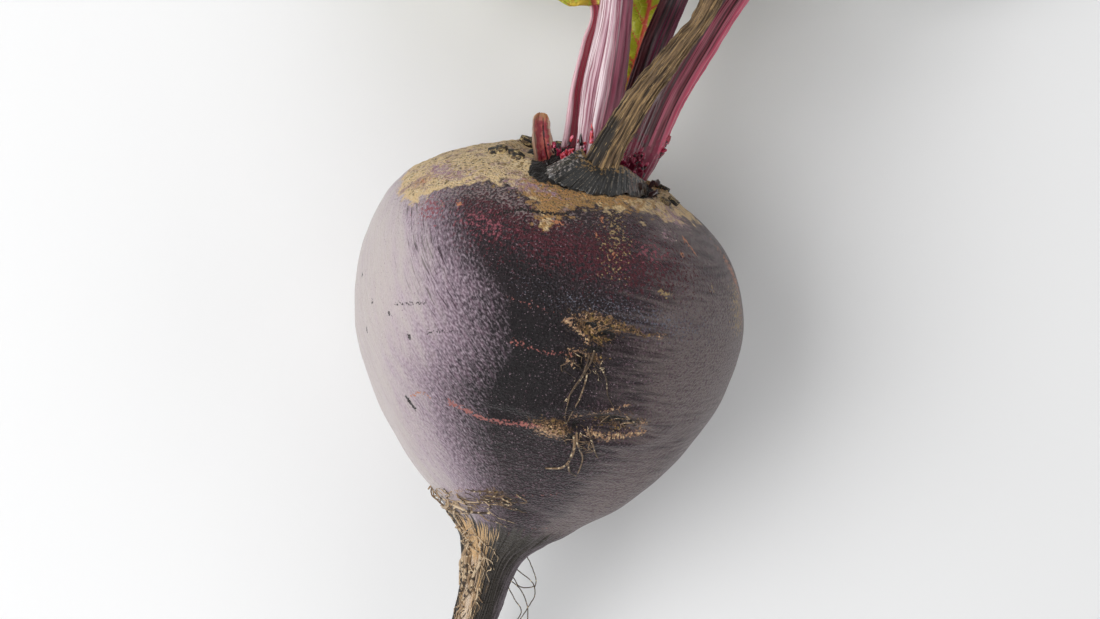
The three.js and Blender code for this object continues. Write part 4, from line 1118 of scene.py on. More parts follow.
# %% [markdown]
# Each stalk is a rod with a half-round back and a channel in front, and it runs on through the leaf as its
# middle rib. One function makes them all: it walks along the line in equal steps and sets a ring of points
# at each. It keeps numbers for the place round the rod and along it, because the ribs and the colours
# follow those, however the stalk bends.


# %% Rods
LOWEST = 0.05  # mm over the table, under which no leaf is laid


def unit(vectors):
    """The same directions with a length of 1."""
    return vectors / np.maximum(np.linalg.norm(vectors, axis=-1, keepdims=True), 1e-12)


def leaf_frame(leaf, place):
    """A leaf's line at places counted in points of its path, with the ways across and behind it."""
    share = np.asarray(place, float) / (len(leaf["path"]) - 1)
    away = heading(leaf["path"], share)
    first, last = np.array(leaf["back"], float)
    back = first + (last - first) * share[..., None]
    back = unit(back - (away * back).sum(-1, keepdims=True) * away)
    return spline(leaf["path"], share), np.cross(away, back), back


def rod(name, leaf, cut=1.1, sides=60, rounded=0.0):
    """A stalk as a closed grid of rings, with numbers for the place round it and along it."""
    dense = np.linspace(0, len(leaf["path"]) - 1, 800)
    middle = leaf_frame(leaf, dense)[0]
    run = np.concatenate([[0], np.cumsum(np.linalg.norm(np.diff(middle, axis=0), axis=1))])
    place = np.interp(np.arange(0, run[-1], cut), run, dense)
    middle, side, back = (x[:, None] for x in leaf_frame(leaf, place))
    share = place / (len(leaf["path"]) - 1)
    half = spline(np.array(leaf["width"])[:, None], share) / 2
    deep = spline(np.array(leaf["depth"])[:, None], share)
    theta = np.linspace(0, 2 * np.pi, sides, endpoint=False)[None]
    rise = np.sin(theta)
    rib = 1 + 0.06 * np.cos(leaf["ribs"] * 2 * theta)
    hollow = np.minimum(leaf["hollow"], deep * 0.6)
    out = np.where(rise > 0, deep * rib * rise, hollow * rise**2 + 0.32 * deep * rise) - deep * 0.3
    if rounded:
        to_end = np.clip((share[:, None] - 1 + rounded) / rounded, 0, 1)
        half, out = half * np.sqrt(1 - 0.96 * to_end**2), out * np.sqrt(1 - 0.8 * to_end**2)
    points = middle + (half * np.cos(theta))[..., None] * side + out[..., None] * back
    points[..., 2] = np.maximum(points[..., 2], LOWEST)
    length_mm = np.interp(place, dense, run)[:, None] + 0 * theta
    everywhere = 0 * length_mm
    values = {
        "around": theta / np.pi + everywhere, "run": length_mm * MM, "share": share[:, None] + everywhere,
        "inner": smooth(-rise, 0.0, 0.3) + everywhere, "wide": np.cos(theta) + everywhere,
    }  # fmt: skip
    return grid_mesh(name, points, loop=True, caps=True, values=values)


# %% [markdown]
# A stalk's strings stand out as ribs, and the ribs follow the rod, so a Geometry Nodes tree cuts them. It
# counts lanes round the rod, lets them wander a little along the way, and presses an uneven groove between
# each two. It keeps the groove as a number for the colours. A noise crumples the whole rod a little, by up
# to twice the depth that is given each way.

# %% Ribs along a rod
ribs, given = shape_tree(
    "ribs",
    {
        "Rib Count": ("Float", 8.0),
        "Rib Depth": ("Float", 0.45 * MM),
        "Groove Width": ("Float", 0.3),
        "Drift": ("Float", 0.7),
        "Drift Length": ("Float", 14 * MM),
        "Crumple": ("Float", 0.1 * MM),
        "Crumple Size": ("Float", 2 * MM),
    },
)
around, run = (
    add(ribs, "GeometryNodeInputNamedAttribute", {"Name": name}, data_type="FLOAT").outputs[0]
    for name in ("around", "run")
)
flow = add(ribs, "ShaderNodeMath", {0: run, 1: given["Drift Length"]}, operation="DIVIDE").outputs[0]
turns = add(ribs, "ShaderNodeMath", {0: around, 1: given["Rib Count"]}, operation="MULTIPLY").outputs[0]
lane = add(ribs, "ShaderNodeMath", {0: turns, 1: 0.6}, operation="MULTIPLY").outputs[0]
spot_in = add(ribs, "ShaderNodeCombineXYZ", {0: lane, 1: flow}).outputs[0]
sway = add(ribs, "ShaderNodeTexNoise", {"Vector": spot_in, "Scale": 1.0, "Detail": 1}).outputs[0]
sway = add(ribs, "ShaderNodeMath", {0: sway, 1: given["Drift"]}, operation="MULTIPLY").outputs[0]
turns = add(ribs, "ShaderNodeMath", {0: turns, 1: sway}).outputs[0]
in_lane = add(ribs, "ShaderNodeMath", {0: turns, 1: 0.5}, operation="PINGPONG").outputs[0]
fall = {"Value": in_lane, "From Min": 0.0, "From Max": given["Groove Width"], "To Min": 1.0, "To Max": 0.0}
groove = add(ribs, "ShaderNodeMapRange", fall, interpolation_type="SMOOTHSTEP").outputs[0]
uneven = add(ribs, "ShaderNodeTexNoise", {"Vector": spot_in, "Scale": 1.7, "Detail": 1}).outputs[0]
uneven = add(ribs, "ShaderNodeMapRange", {"Value": uneven, "From Min": 0.3, "From Max": 0.6}).outputs[0]
groove = add(ribs, "ShaderNodeMath", {0: groove, 1: uneven}, operation="MULTIPLY").outputs[0]
grooved = add(
    ribs, "GeometryNodeStoreNamedAttribute",
    {"Geometry": given["Geometry"], "Name": "groove", "Value": groove}, data_type="FLOAT", domain="POINT",
)  # fmt: skip
sink = add(ribs, "ShaderNodeMath", {0: groove, 1: given["Rib Depth"]}, operation="MULTIPLY").outputs[0]
where = add(ribs, "GeometryNodeInputPosition").outputs[0]
crumple_scale = add(ribs, "ShaderNodeMath", {0: 1.0, 1: given["Crumple Size"]}, operation="DIVIDE").outputs[0]
crumple = add(ribs, "ShaderNodeTexNoise", {"Vector": where, "Scale": crumple_scale, "Detail": 3}).outputs[0]
crumple = add(ribs, "ShaderNodeMath", {0: crumple, 1: -0.5}).outputs[0]
crumple = add(ribs, "ShaderNodeMath", {0: crumple, 1: given["Crumple"]}, operation="MULTIPLY").outputs[0]
crumple = add(ribs, "ShaderNodeMath", {0: crumple, 1: 4.0}, operation="MULTIPLY").outputs[0]
rise = add(ribs, "ShaderNodeMath", {0: crumple, 1: sink}, operation="SUBTRACT").outputs[0]
normal = add(ribs, "GeometryNodeInputNormal").outputs[0]
offset = add(ribs, "ShaderNodeVectorMath", {0: normal, "Scale": rise}, operation="SCALE").outputs[0]
moved = add(ribs, "ShaderNodeVectorMath", {0: where, 1: offset}).outputs[0]
above = add(ribs, "ShaderNodeVectorMath", {0: moved, 1: ON_TABLE}, operation="MAXIMUM").outputs[0]
ribbed = add(ribs, "GeometryNodeSetPosition", {"Geometry": grooved.outputs[0], "Position": above})
close_tree(ribs, ribbed.outputs[0], given["Finish"])
print("ribs tree:", len(ribs.nodes), "nodes")

# %% [markdown]
# A beet's stalk is juicy and smooth, with a thin clear skin over red flesh. The ribs are pale strings with
# thin dark lines of juice between them, the grooves get painted shade, and one side of each stalk gets a coat
# of painted shade. The skin mirrors the window in narrow lines, so it gets a roughness of 0.3 and a thin
# clear coat. The strings are grains of about half a millimetre, drawn out 80 times along the rod.


# %% Skin of a stalk
LANE = 0.012  # half a turn round a rod counts as 12 mm in its patterns, and 1 m along it as 12 mm too


def stalk_skin(name, rib, body, deep, margin, shade, shaded, foot):
    """A stalk's colours. shaded names the mask of the side that gets painted shade, with where that starts
    and is full.
    """
    material, tree, shader, space = start_material(name, 0.3, Coat_Weight=0.25, Coat_Roughness=0.18)
    around, run, groove, wide, painted_shade = (
        add(tree, "ShaderNodeAttribute", attribute_name=name).outputs["Fac"]
        for name in ("around", "run", "groove", "wide", shaded[0])
    )
    lanes = add(tree, "ShaderNodeMath", {0: around, 1: LANE}, operation="MULTIPLY").outputs[0]
    drawn = add(tree, "ShaderNodeMath", {0: run, 1: LANE}, operation="MULTIPLY").outputs[0]
    strings = add(tree, "ShaderNodeCombineXYZ", {0: lanes, 1: drawn}).outputs[0]
    shadow = add(tree, "ShaderNodeMath", {0: groove, 1: 0.8}, operation="MULTIPLY").outputs[0]
    edge, painted_shade, root_end = (
        add(tree, "ShaderNodeMapRange", {"Value": value, "From Min": none, "From Max": full, "To Max": most})
        for value, none, full, most in (
            (wide, 0.3, 0.55, 0.85),
            (painted_shade, shaded[1], shaded[2], 0.85),
            (run, foot * MM, 0.6 * foot * MM, 0.72),
        )
    )
    skin_colour = coats(
        tree,
        colour(body),
        [
            (rib, grains(tree, strings, 0.55, 0.55, 0.12, 1)),
            # painted shade over one side of the stalk
            (shade, grains(tree, strings, 0.6, painted_shade.outputs[0], 0.3, 2)),
            (deep, grains(tree, strings, 0.4, 0.38, 0.09, 1)),
            (margin, grains(tree, strings, 0.5, edge.outputs[0], 0.15, 2)),
            # painted shade in the grooves between the ribs
            (deep, shadow),
            ("#7e1738", grains(tree, space, 1.1, root_end.outputs[0], 0.2)),
        ],
    )
    fine = add(tree, "ShaderNodeTexNoise", {"Vector": strings, "Scale": per(0.2), "Detail": 2}).outputs[0]
    bump = add(tree, "ShaderNodeBump", {"Height": fine, "Strength": 0.5, "Distance": 0.2 * MM})
    tree.links.new(skin_colour, shader.inputs["Base Color"])
    tree.links.new(bump.outputs[0], shader.inputs["Normal"])
    return material


RIGHT_SIDE, LEFT_SIDE, INNER_SIDE = ("wide", -0.1, 0.2), ("wide", 0.0, -0.5), ("inner", 0.4, 0.75)
STALK_COLOURS = {
    # ribs, body, grooves, margins, the painted shade on one side and where it is, and how far up in mm the
    # foot is crimson
    "leaf_front": ("#eddade", "#bf95a1", "#7c2440", "#8e4a5c", "#6c424c", RIGHT_SIDE, 9),
    "leaf_right": ("#b3586c", "#873d4a", "#401219", "#cc4868", "#4e2e33", LEFT_SIDE, 17),
    "leaf_middle": ("#6a2440", "#3f121f", "#1c070c", "#51141f", "#3b121c", RIGHT_SIDE, 9),
    "leaf_left": ("#f6dce0", "#e2a6b2", "#a5405a", "#e9bcc5", "#98182a", INNER_SIDE, 9),
    "leaf_young": ("#f08a6a", "#dc6250", "#9c2b34", "#e7785c", "#dc6250", RIGHT_SIDE, 9),
}
SLIM = 4  # mm, under which a stalk gets fewer and shallower ribs
for name, leaf in LEAVES.items():
    slim = leaf["width"][2] < SLIM
    piece = run_tree(
        rod(name + "_stalk", leaf, cut=0.8 if slim else 1.0, sides=36 if slim else 72),
        ribs,
        finish=stalk_skin(name + "_stalk_skin", *STALK_COLOURS[name]),
        rib_count=4.0 if slim else 8.0,
        rib_depth=(0.18 if slim else 0.5) * MM,
        groove_width=0.34,
    )
    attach(piece, "root")
    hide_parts(name)

# %% [markdown]
# A blade is a thin sheet, pulled into waves along its margins and puffed up between its veins. One
# formula gives the sheet, the same as in the solid model. On top of that come the veins: on a grown leaf a
# pair leaves the middle rib every 11 mm and runs out and forward, and weaker ones cross between them. The
# distance to the nearest vein shapes the puffs, and the vein is kept as a number for the colours. The
# sheet gets its thickness by going round from its back to its front, so each row of points is a closed,
# flat loop.


# %% Blades
BLADE_THICKNESS = 0.7


def two_sided(values):
    """Rows of numbers for the top of a sheet, run on in reverse for its underside."""
    return np.concatenate([values, values[:, ::-1]], axis=1)


def blade(name, leaf, rows, columns, spacing):
    """A leaf's blade from a grid of rows along it and columns across it, with veins this many mm apart."""
    cut = leaf["blade"]
    s, v = np.meshgrid(np.linspace(0, 1, rows), np.linspace(-1, 1, columns), indexing="ij")
    last = len(leaf["path"]) - 1
    middle, side, back = leaf_frame(leaf, cut["start"] + (last - cut["start"]) * s)
    outline = np.sin(np.pi * (0.03 + 0.96 * s) ** 0.66) ** 0.8
    lobes = 1 + 0.05 * np.sin(25 * s + cut["phase"] + np.sign(v))
    reach = np.maximum(0.6, cut["half"] * outline * lobes)
    reach = reach + np.where(v < 0, cut.get("ear", 0) * bell(s, 0.11, 0.045), 0)
    margin = np.abs(v)
    wave = np.sin(2 * np.pi * cut["waves"] * s + cut["phase"] + 1.9 * np.sign(v))
    wave = cut["ruffle"] * outline * margin**1.7 * wave
    wave += 0.09 * cut["ruffle"] * outline * margin**4 * np.sin(41 * s + 3 * cut["phase"] + 2.3 * np.sign(v))
    length_mm = np.linalg.norm(np.diff(middle[:, 0], axis=0), axis=1).sum()
    x, y = s * length_mm, margin * reach
    x = x + 1.3 * np.sin(0.21 * y + 5 * s + v) + 0.8 * np.sin(0.5 * y + 9 * s)
    size = spacing / 11
    lane = (x - 0.62 * y - 0.01 * y**2 / size) / spacing + 0.37 * np.sign(v)
    to_vein = np.abs(lane - np.round(lane)) * spacing * 0.8
    cross = (x + 0.75 * y + 1.2 * np.sin(0.7 * x)) / (0.55 * spacing)
    to_cross = np.abs(cross - np.round(cross)) * spacing * 0.45
    narrow = 1.1 * size * (1 - 0.55 * margin)
    vein = np.exp(-((to_vein / narrow) ** 2)) * (1 - 0.35 * margin)
    vein = np.maximum(vein, 0.45 * np.exp(-((to_cross / (0.5 * size)) ** 2)))
    vein = np.maximum(vein, np.exp(-((y / (1.6 * size)) ** 2)))
    puff = smooth(to_vein, 0, 3.2 * size) * (0.55 + 0.45 * smooth(to_cross, 0, 1.8 * size))
    puff = puff * smooth(y, 0, 4 * size) * (1 - margin**6)
    fold = cut["fold"] * reach * margin**1.25
    sheet = middle + (v * reach)[..., None] * side - (fold + wave + 1.0 * size * puff)[..., None] * back
    sheet[..., 2] = settle(sheet[..., 2]) + 0.28
    facing = unit(np.cross(np.gradient(sheet, axis=1), np.gradient(sheet, axis=0)))
    over = (0.5 * BLADE_THICKNESS + 0.22 * size * vein * (1 - s))[..., None]
    top, under = sheet + over * facing, sheet - 0.5 * BLADE_THICKNESS * facing
    points = np.concatenate([top, under[:, ::-1]], axis=1)
    points[..., 2] = np.maximum(points[..., 2], LOWEST)
    values = {
        "vein": two_sided(vein), "share": two_sided(s), "puff": two_sided(puff),
        "front": np.concatenate([np.zeros_like(s), np.ones_like(s)], axis=1),
    }  # fmt: skip
    flat = [two_sided(v * reach), two_sided(s * length_mm)]
    uv = [np.hstack([part, part[:, :1]]) * MM for part in flat]
    return grid_mesh(name, points, loop=True, caps=True, uv=uv, values=values)


# %% [markdown]
# A beet leaf has a thin wax over its green, so it is smoother than paper and duller than a stalk: the
# roughness is 0.38, and the light coat is rough too. Between the veins lies a fine net of paler lines. It
# is drawn 2.6 mm wide, wider than a real one, so that it shows. Young cells are yellow-green, the juice
# of the veins is red, and it flushes the foot of the blade.


# %% Skin of a blade
def blade_skin(name, front, behind, young, veins, flush):
    """A leaf's colours: its front and back, the paler green of young cells, its veins, and the red flush."""
    material, tree, shader, space = start_material(name, 0.38, Coat_Weight=0.15, Coat_Roughness=0.3)
    flat = add(tree, "ShaderNodeUVMap", uv_map="skin").outputs[0]
    vein, share, puff, turned = (
        add(tree, "ShaderNodeAttribute", attribute_name=name).outputs["Fac"]
        for name in ("vein", "share", "puff", "front")
    )
    cells = {"Vector": flat, "Scale": per(2.6), "Randomness": 0.9}
    net = add(tree, "ShaderNodeTexVoronoi", cells, feature="DISTANCE_TO_EDGE").outputs[0]
    net_lines = {"Value": net, "From Min": 0.02, "From Max": 0.09, "To Min": 0.55, "To Max": 0}
    net = add(tree, "ShaderNodeMapRange", net_lines)
    base = add(tree, "ShaderNodeMapRange", {"Value": share, "From Min": 0.3, "From Max": 0.0, "To Max": 0.55})
    pale = add(tree, "ShaderNodeMath", {0: puff, 1: 0.42}, operation="MULTIPLY").outputs[0]
    line = add(tree, "ShaderNodeMapRange", {"Value": vein, "From Min": 0.3, "From Max": 0.75})
    sides = {0: turned, 6: colour(behind), 7: colour(front)}
    leaf_colour = coats(
        tree,
        add(tree, "ShaderNodeMix", sides, data_type="RGBA").outputs[2],
        [
            (young, grains(tree, space, 5, pale, 0.25)),
            (young, net.outputs[0]),
            (flush, grains(tree, space, 2.2, base.outputs[0], 0.2)),
            (veins, line.outputs[0]),
        ],
    )
    fine = add(tree, "ShaderNodeTexNoise", {"Vector": flat, "Scale": per(0.9), "Detail": 3}).outputs[0]
    height = add(tree, "ShaderNodeMath", {0: fine, 1: net.outputs[0]}, operation="SUBTRACT").outputs[0]
    bump = add(tree, "ShaderNodeBump", {"Height": height, "Strength": 0.55, "Distance": 0.3 * MM})
    tree.links.new(leaf_colour, shader.inputs["Base Color"])
    tree.links.new(bump.outputs[0], shader.inputs["Normal"])
    return material


GROWN = ("#3f5a22", "#5f7440", "#6f8c3a", "#9b2145", "#6d1f33")
YOUNG = ("#b9bd26", "#b9bd3c", "#d4d544", "#dc5a42", "#7a2130")
FRILL = ("#b3bf34", "#b3bf50", "#dfe06a", "#b0523a", "#d2b43c")
BLADES = {
    # rows, columns, mm between the veins, and the colours
    "leaf_front": (250, 92, 11, GROWN),
    "leaf_right": (250, 92, 11, GROWN),
    "leaf_middle": (250, 92, 11, GROWN),
    "leaf_left": (190, 60, 7.5, FRILL),
    "leaf_young": (110, 24, 4.6, YOUNG),
}
for name, (rows, across, spacing, colours) in BLADES.items():
    piece = blade(name + "_blade", LEAVES[name], rows, across, spacing)
    piece.data.materials.append(blade_skin(name + "_blade_skin", *colours))
    print(piece.name, len(piece.data.polygons), "faces")
    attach(piece, "root")

# %% [markdown]
# The dead stalk has lost its flesh. What is left is a twisted band of strings, ochre on the ridges and
# brown between them, on a foot of black shrivelled skin that clasps the crown. The same rib tree makes it,
# with deeper grooves that wander more, and a coarser crumple. Dry strings are matt, so their roughness is
# 0.75, and the black foot is tough and a little shiny, so it has 0.34.

# %% Dried stalk
dry_skin, tree, shader, space = start_material("dried_stalk_strings", 0.72, Sheen_Weight=0.15)
around, run, groove, share, wide = (
    add(tree, "ShaderNodeAttribute", attribute_name=name).outputs["Fac"]
    for name in ("around", "run", "groove", "share", "wide")
)
lanes = add(tree, "ShaderNodeMath", {0: around, 1: LANE}, operation="MULTIPLY").outputs[0]
drawn = add(tree, "ShaderNodeMath", {0: run, 1: 0.06}, operation="MULTIPLY").outputs[0]
strings = add(tree, "ShaderNodeCombineXYZ", {0: lanes, 1: drawn}).outputs[0]
foot = add(tree, "ShaderNodeMapRange", {"Value": share, "From Min": 0.16, "From Max": 0.09}).outputs[0]
shadow = add(tree, "ShaderNodeMath", {0: groove, 1: 0.75}, operation="MULTIPLY").outputs[0]
wet = add(tree, "ShaderNodeMapRange", {"Value": foot, "To Min": 0.75, "To Max": 0.34}).outputs[0]
dark_side = {"Value": wide, "From Min": 0.15, "From Max": -0.35, "To Max": 0.62}
strand = add(tree, "ShaderNodeMapRange", dark_side).outputs[0]
low_down = add(tree, "ShaderNodeMapRange", {"Value": share, "From Min": 0.42, "From Max": 0.3}).outputs[0]
strand = add(tree, "ShaderNodeMath", {0: strand, 1: low_down}, operation="MULTIPLY").outputs[0]
dry_colour = coats(
    tree,
    colour("#6c5439"),
    [
        ("#94774f", grains(tree, strings, 0.4, 0.5, 0.1, 2)),
        ("#44331f", grains(tree, strings, 0.3, 0.36, 0.08, 2)),
        ("#2b241d", grains(tree, strings, 0.7, strand, 0.15, 2)),
        ("#1b130c", shadow),
        ("#bd9e6e", grains(tree, strings, 0.18, 0.2, 0.05, 2)),
        ("#1c1815", grains(tree, space, 1.5, foot, 0.25)),
        ("#6b6461", grains(tree, strings, 0.3, foot, share=0.36)),
    ],
)
fine = add(tree, "ShaderNodeTexNoise", {"Vector": strings, "Scale": per(0.2), "Detail": 3}).outputs[0]
bump = add(tree, "ShaderNodeBump", {"Height": fine, "Strength": 0.8, "Distance": 0.35 * MM})
for socket, value in {"Base Color": dry_colour, "Normal": bump.outputs[0], "Roughness": wet}.items():
    tree.links.new(value, shader.inputs[socket])
dried = run_tree(
    rod("dried_stalk_strings", DRIED_STALK, cut=0.7, sides=120),
    ribs,
    finish=dry_skin,
    rib_count=7.0,
    rib_depth=0.7 * MM,
    groove_width=0.42,
    drift=2.2,
    crumple=0.35 * MM,
    crumple_size=2.2 * MM,
)
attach(dried, "root")
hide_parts("dried_stalk")

# %% [markdown]
# Left on the crown stands the stump of a leaf that was cut off. It is a short, hollow rod with three ribs
# on each side, withered and grey on its back, and fleshy red in the hollow. The flesh is moist, so it gets
# a roughness of 0.3 and a clear coat, and the drying cut and the rims are tan.

# %% Cut stump
stump_skin, tree, shader, space = start_material("cut_stalk_flesh", 0.3, Coat_Weight=0.3, Coat_Roughness=0.15)
inner, share, groove, wide = (
    add(tree, "ShaderNodeAttribute", attribute_name=name).outputs["Fac"]
    for name in ("inner", "share", "groove", "wide")
)
tip = add(tree, "ShaderNodeMapRange", {"Value": share, "From Min": 0.82, "From Max": 1.0}).outputs[0]
shadow = add(tree, "ShaderNodeMath", {0: groove, 1: 0.6}, operation="MULTIPLY").outputs[0]
off_middle = add(tree, "ShaderNodeMath", {0: wide}, operation="ABSOLUTE").outputs[0]
at_rim = {"Value": off_middle, "From Min": 0.55, "From Max": 0.95, "To Max": 0.9}
rim = add(tree, "ShaderNodeMapRange", at_rim).outputs[0]
off_fold = add(tree, "ShaderNodeMath", {0: wide, 1: 0.3}).outputs[0]
off_fold = add(tree, "ShaderNodeMath", {0: off_fold}, operation="ABSOLUTE").outputs[0]
in_fold = {"Value": off_fold, "From Min": 0.12, "From Max": 0.03, "To Max": 0.9}
fold = add(tree, "ShaderNodeMapRange", in_fold).outputs[0]
stump_colour = coats(
    tree,
    colour("#7b6e6c"),
    [
        ("#443631", grains(tree, space, 1.2, 0.42)),
        ("#a83a45", grains(tree, space, 1.0, inner, 0.25)),
        ("#d8776a", grains(tree, space, 1.4, inner, 0.2, share=0.45)),
        ("#4c1a20", shadow),
        ("#3a1a1c", grains(tree, space, 0.8, fold, 0.3)),
        ("#9c7a66", grains(tree, space, 0.8, rim, 0.3)),
        ("#c08a5c", grains(tree, space, 0.8, tip, 0.3)),
    ],
)
tree.links.new(stump_colour, shader.inputs["Base Color"])
stump = run_tree(
    rod("cut_stump_flesh", STUMP, cut=0.3, sides=64, rounded=0.15),
    ribs,
    finish=stump_skin,
    rib_count=3.0,
    rib_depth=0.35 * MM,
    crumple=0.18 * MM,
)
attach(stump, "root")
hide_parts("cut_stump")

# %% [markdown]
# Small things sit all over the crown: rings of old leaf scars, red scales of new leaves, and scraps of
# torn and blackened skin. Each kind has one small shape. A Geometry Nodes tree puts that shape on a list
# of points, turned and sized by what each point says, and crumples all a little so that no two are alike.

# %% One shape on many points
seats, given = shape_tree(
    "seats",
    {
        "Shape": ("Object", None),
        "Crumple": ("Float", 0.3 * MM),
        "Grain": ("Float", 1.5 * MM),
    },
)
aim, aside, size = (
    add(seats, "GeometryNodeInputNamedAttribute", {"Name": name}, data_type="FLOAT_VECTOR").outputs[0]
    for name in ("aim", "aside", "size")
)
pose = add(
    seats, "FunctionNodeAxesToRotation", {"Primary Axis": aim, "Secondary Axis": aside},
    primary_axis="Z", secondary_axis="X",
)  # fmt: skip
shape = add(seats, "GeometryNodeObjectInfo", {"Object": given["Shape"]}).outputs["Geometry"]
put = add(
    seats, "GeometryNodeInstanceOnPoints",
    {"Points": given["Geometry"], "Instance": shape, "Rotation": pose.outputs[0], "Scale": size},
)  # fmt: skip
real = add(seats, "GeometryNodeRealizeInstances", {0: put.outputs[0]}).outputs[0]
where = add(seats, "GeometryNodeInputPosition").outputs[0]
scale = add(seats, "ShaderNodeMath", {0: 1.0, 1: given["Grain"]}, operation="DIVIDE").outputs[0]
push = add(seats, "ShaderNodeTexNoise", {"Vector": where, "Scale": scale, "Detail": 3}).outputs[1]
push = add(seats, "ShaderNodeVectorMath", {0: push, 1: (0.5, 0.5, 0.5)}, operation="SUBTRACT").outputs[0]
push = add(seats, "ShaderNodeVectorMath", {0: push, "Scale": given["Crumple"]}, operation="SCALE").outputs[0]
push = add(seats, "ShaderNodeVectorMath", {0: push, "Scale": 4.0}, operation="SCALE").outputs[0]
crumpled = add(seats, "GeometryNodeSetPosition", {"Geometry": real, "Offset": push})
crumpled = add(seats, "GeometryNodeSetShadeSmooth", {"Geometry": crumpled.outputs[0]})
close_tree(seats, crumpled.outputs[0], given["Finish"])
print("seats tree:", len(seats.nodes), "nodes")


def seat_mesh(name, seats_list):
    """Points with the way each seat faces, its sideways direction, its size, and a tone from 0 to 1."""
    mesh = bpy.data.meshes.new(name)
    mesh.from_pydata([tuple(np.array(p) * MM) for p, *_ in seats_list], [], [])
    for i, label in enumerate(("aim", "aside", "size")):
        data = np.array([seat[i + 1] for seat in seats_list], np.float32)
        mesh.attributes.new(label, "FLOAT_VECTOR", "POINT").data.foreach_set("vector", data.ravel())
    tones = np.array([seat[4] for seat in seats_list], np.float32)
    mesh.attributes.new("tone", "FLOAT", "POINT").data.foreach_set("value", tones)
    return in_scene(name, mesh)


def dome(name, profile, sides):
    """A closed round shape from pairs of radius and height in mm."""
    theta = np.linspace(0, 2 * np.pi, sides, endpoint=False)
    radius, height = np.array(profile, float).T
    x, y, z = radius[:, None] * np.cos(theta), radius[:, None] * np.sin(theta), height[:, None] + 0 * theta
    points = np.stack([x, y, z], axis=-1)
    return grid_mesh(name, points, loop=True, caps=True)


# %% [markdown]
# Each leaf that was lost has left a ring on the crown: a low cup of cork, wider than it is high, dark and
# crumbled. One cup is turned from a profile. Nine seats carry it, and each faces out of the skin at its
# place. The cork is dry and full of holes, so a roughness of 0.7 lets it shine nowhere.

# %% Rings of old leaf scars
LEAF_SCARS = [
    # degrees, mm from the axis, half width, half height and depth of the cup in mm
    (158, 21.5, 2.2, 1.7, 0.8), (139, 20.4, 1.5, 1.1, 0.6), (147, 19.6, 1.2, 1.0, 0.6),
    (216, 17.5, 2.6, 1.7, 0.8), (250, 18, 2.8, 1.7, 0.8), (290, 18.5, 2.5, 1.6, 0.8),
    (328, 19, 2.4, 1.5, 0.7), (8, 19.6, 1.7, 1.1, 0.6), (24, 19.2, 1.4, 1.0, 0.6),
]  # fmt: skip
SCAR_PROFILE = [
    (0.02, -1.0), (1.25, -1.0), (1.28, 0.1), (1.12, 0.75), (0.96, 0.72), (0.8, 0.15), (0.5, -0.05),
    (0.2, 0.15), (0.02, 0.2),
]  # fmt: skip
crown_share = np.linspace(share_at(26.5), 0.99, 400)
crown_radius = spline(ROOT_PROFILE, crown_share, False)[:, 1]


def on_crown(degrees, distance):
    """A point of the crown, with its directions out of the skin, round the axis and inwards."""
    at = np.interp(-distance, -crown_radius, crown_share)
    around = np.array([degrees - 1.0, degrees + 1.0])
    side = unit(np.diff(root_point(np.array([at, at]), around), axis=0)[0])
    step = root_point(np.array([at - 0.004, at + 0.004]), np.full(2, float(degrees)))
    inward = unit(np.diff(step, axis=0)[0])
    return root_point(np.array([at]), np.array([float(degrees)]))[0], unit(np.cross(side, inward)), side


scar_seats = []
for degrees, distance, half_width, half_height, wall in LEAF_SCARS:
    middle, out, side = on_crown(degrees, distance)
    scar_seats.append((middle, out, side, (half_width, half_height, wall), between(0.3, 0.7)))

scar_skin, tree, shader, space = start_material("dried_scar_cork", 0.7)
scar_colour = coats(
    tree,
    colour("#6f5a3e"),
    [
        ("#2a2019", grains(tree, space, 1.1, 0.55, 0.15)),
        ("#b9a273", grains(tree, space, 0.8, 0.4)),
        ("#15100d", grains(tree, space, 2.0, 0.42)),
    ],
)
tree.links.new(scar_colour, shader.inputs["Base Color"])
cup = dome("cup", SCAR_PROFILE, 28)
scars = run_tree(seat_mesh("leaf_scars", scar_seats), seats, finish=scar_skin, shape=cup, crumple=0.26 * MM)
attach(scars, "root")

# %% [markdown]
# The hearts of new leaves are packed at the foot of the front stalk. A bud is a fat, pointed drop, turned
# from a formula, and a torn scale is a thin spindle that is flattened where it is put. Fresh bud skin is
# wet and tight, so its roughness is 0.28 and its clear coat gives it small, sharp lights. Its tone runs
# from black over wine red to coral.

# %% Buds and scraps
BUDS = [
    # foot, tip, radius and tone
    ([2.2, 30, 55], [3.2, 36, 58], 2.2, 0.72), ([5, 29, 57], [5.6, 36.4, 60], 2.0, 0.8),
    ([8, 30, 58], [8.6, 37, 61.6], 1.5, 0.75), ([-0.5, 29.5, 51.5], [1, 36, 54.6], 2.2, 0.65),
    ([8.3, 38, 62], [8.3, 42.4, 62.8], 0.55, 0.95), ([6.1, 37.6, 61.6], [5.9, 40.3, 62.6], 0.45, 0.0),
]  # fmt: skip
KNOBS = [([21.6, 38, 50.6], [25.8, 40.2, 51.6], 1.9, 0.7), ([18.8, 35, 50.6], [23.8, 36.6, 51.4], 1.9, 0.7)]


def bud_radius(share):
    """The radius of a bud at a share of its length, where its foot is 0.85."""
    return np.maximum(0.06, 0.85 * (1 - share**2) ** 0.8 + 0.4 * share * (1 - share))


def seat_of(start, end, radius, tone):
    """A seat for a shape that stands on one point and reaches to another, both in mm."""
    way = np.array(end, float) - np.array(start, float)
    size = (radius, radius, float(np.linalg.norm(way)))
    return (start, unit(way), np.cross(way, [0.1, 0.2, 1]), size, tone)


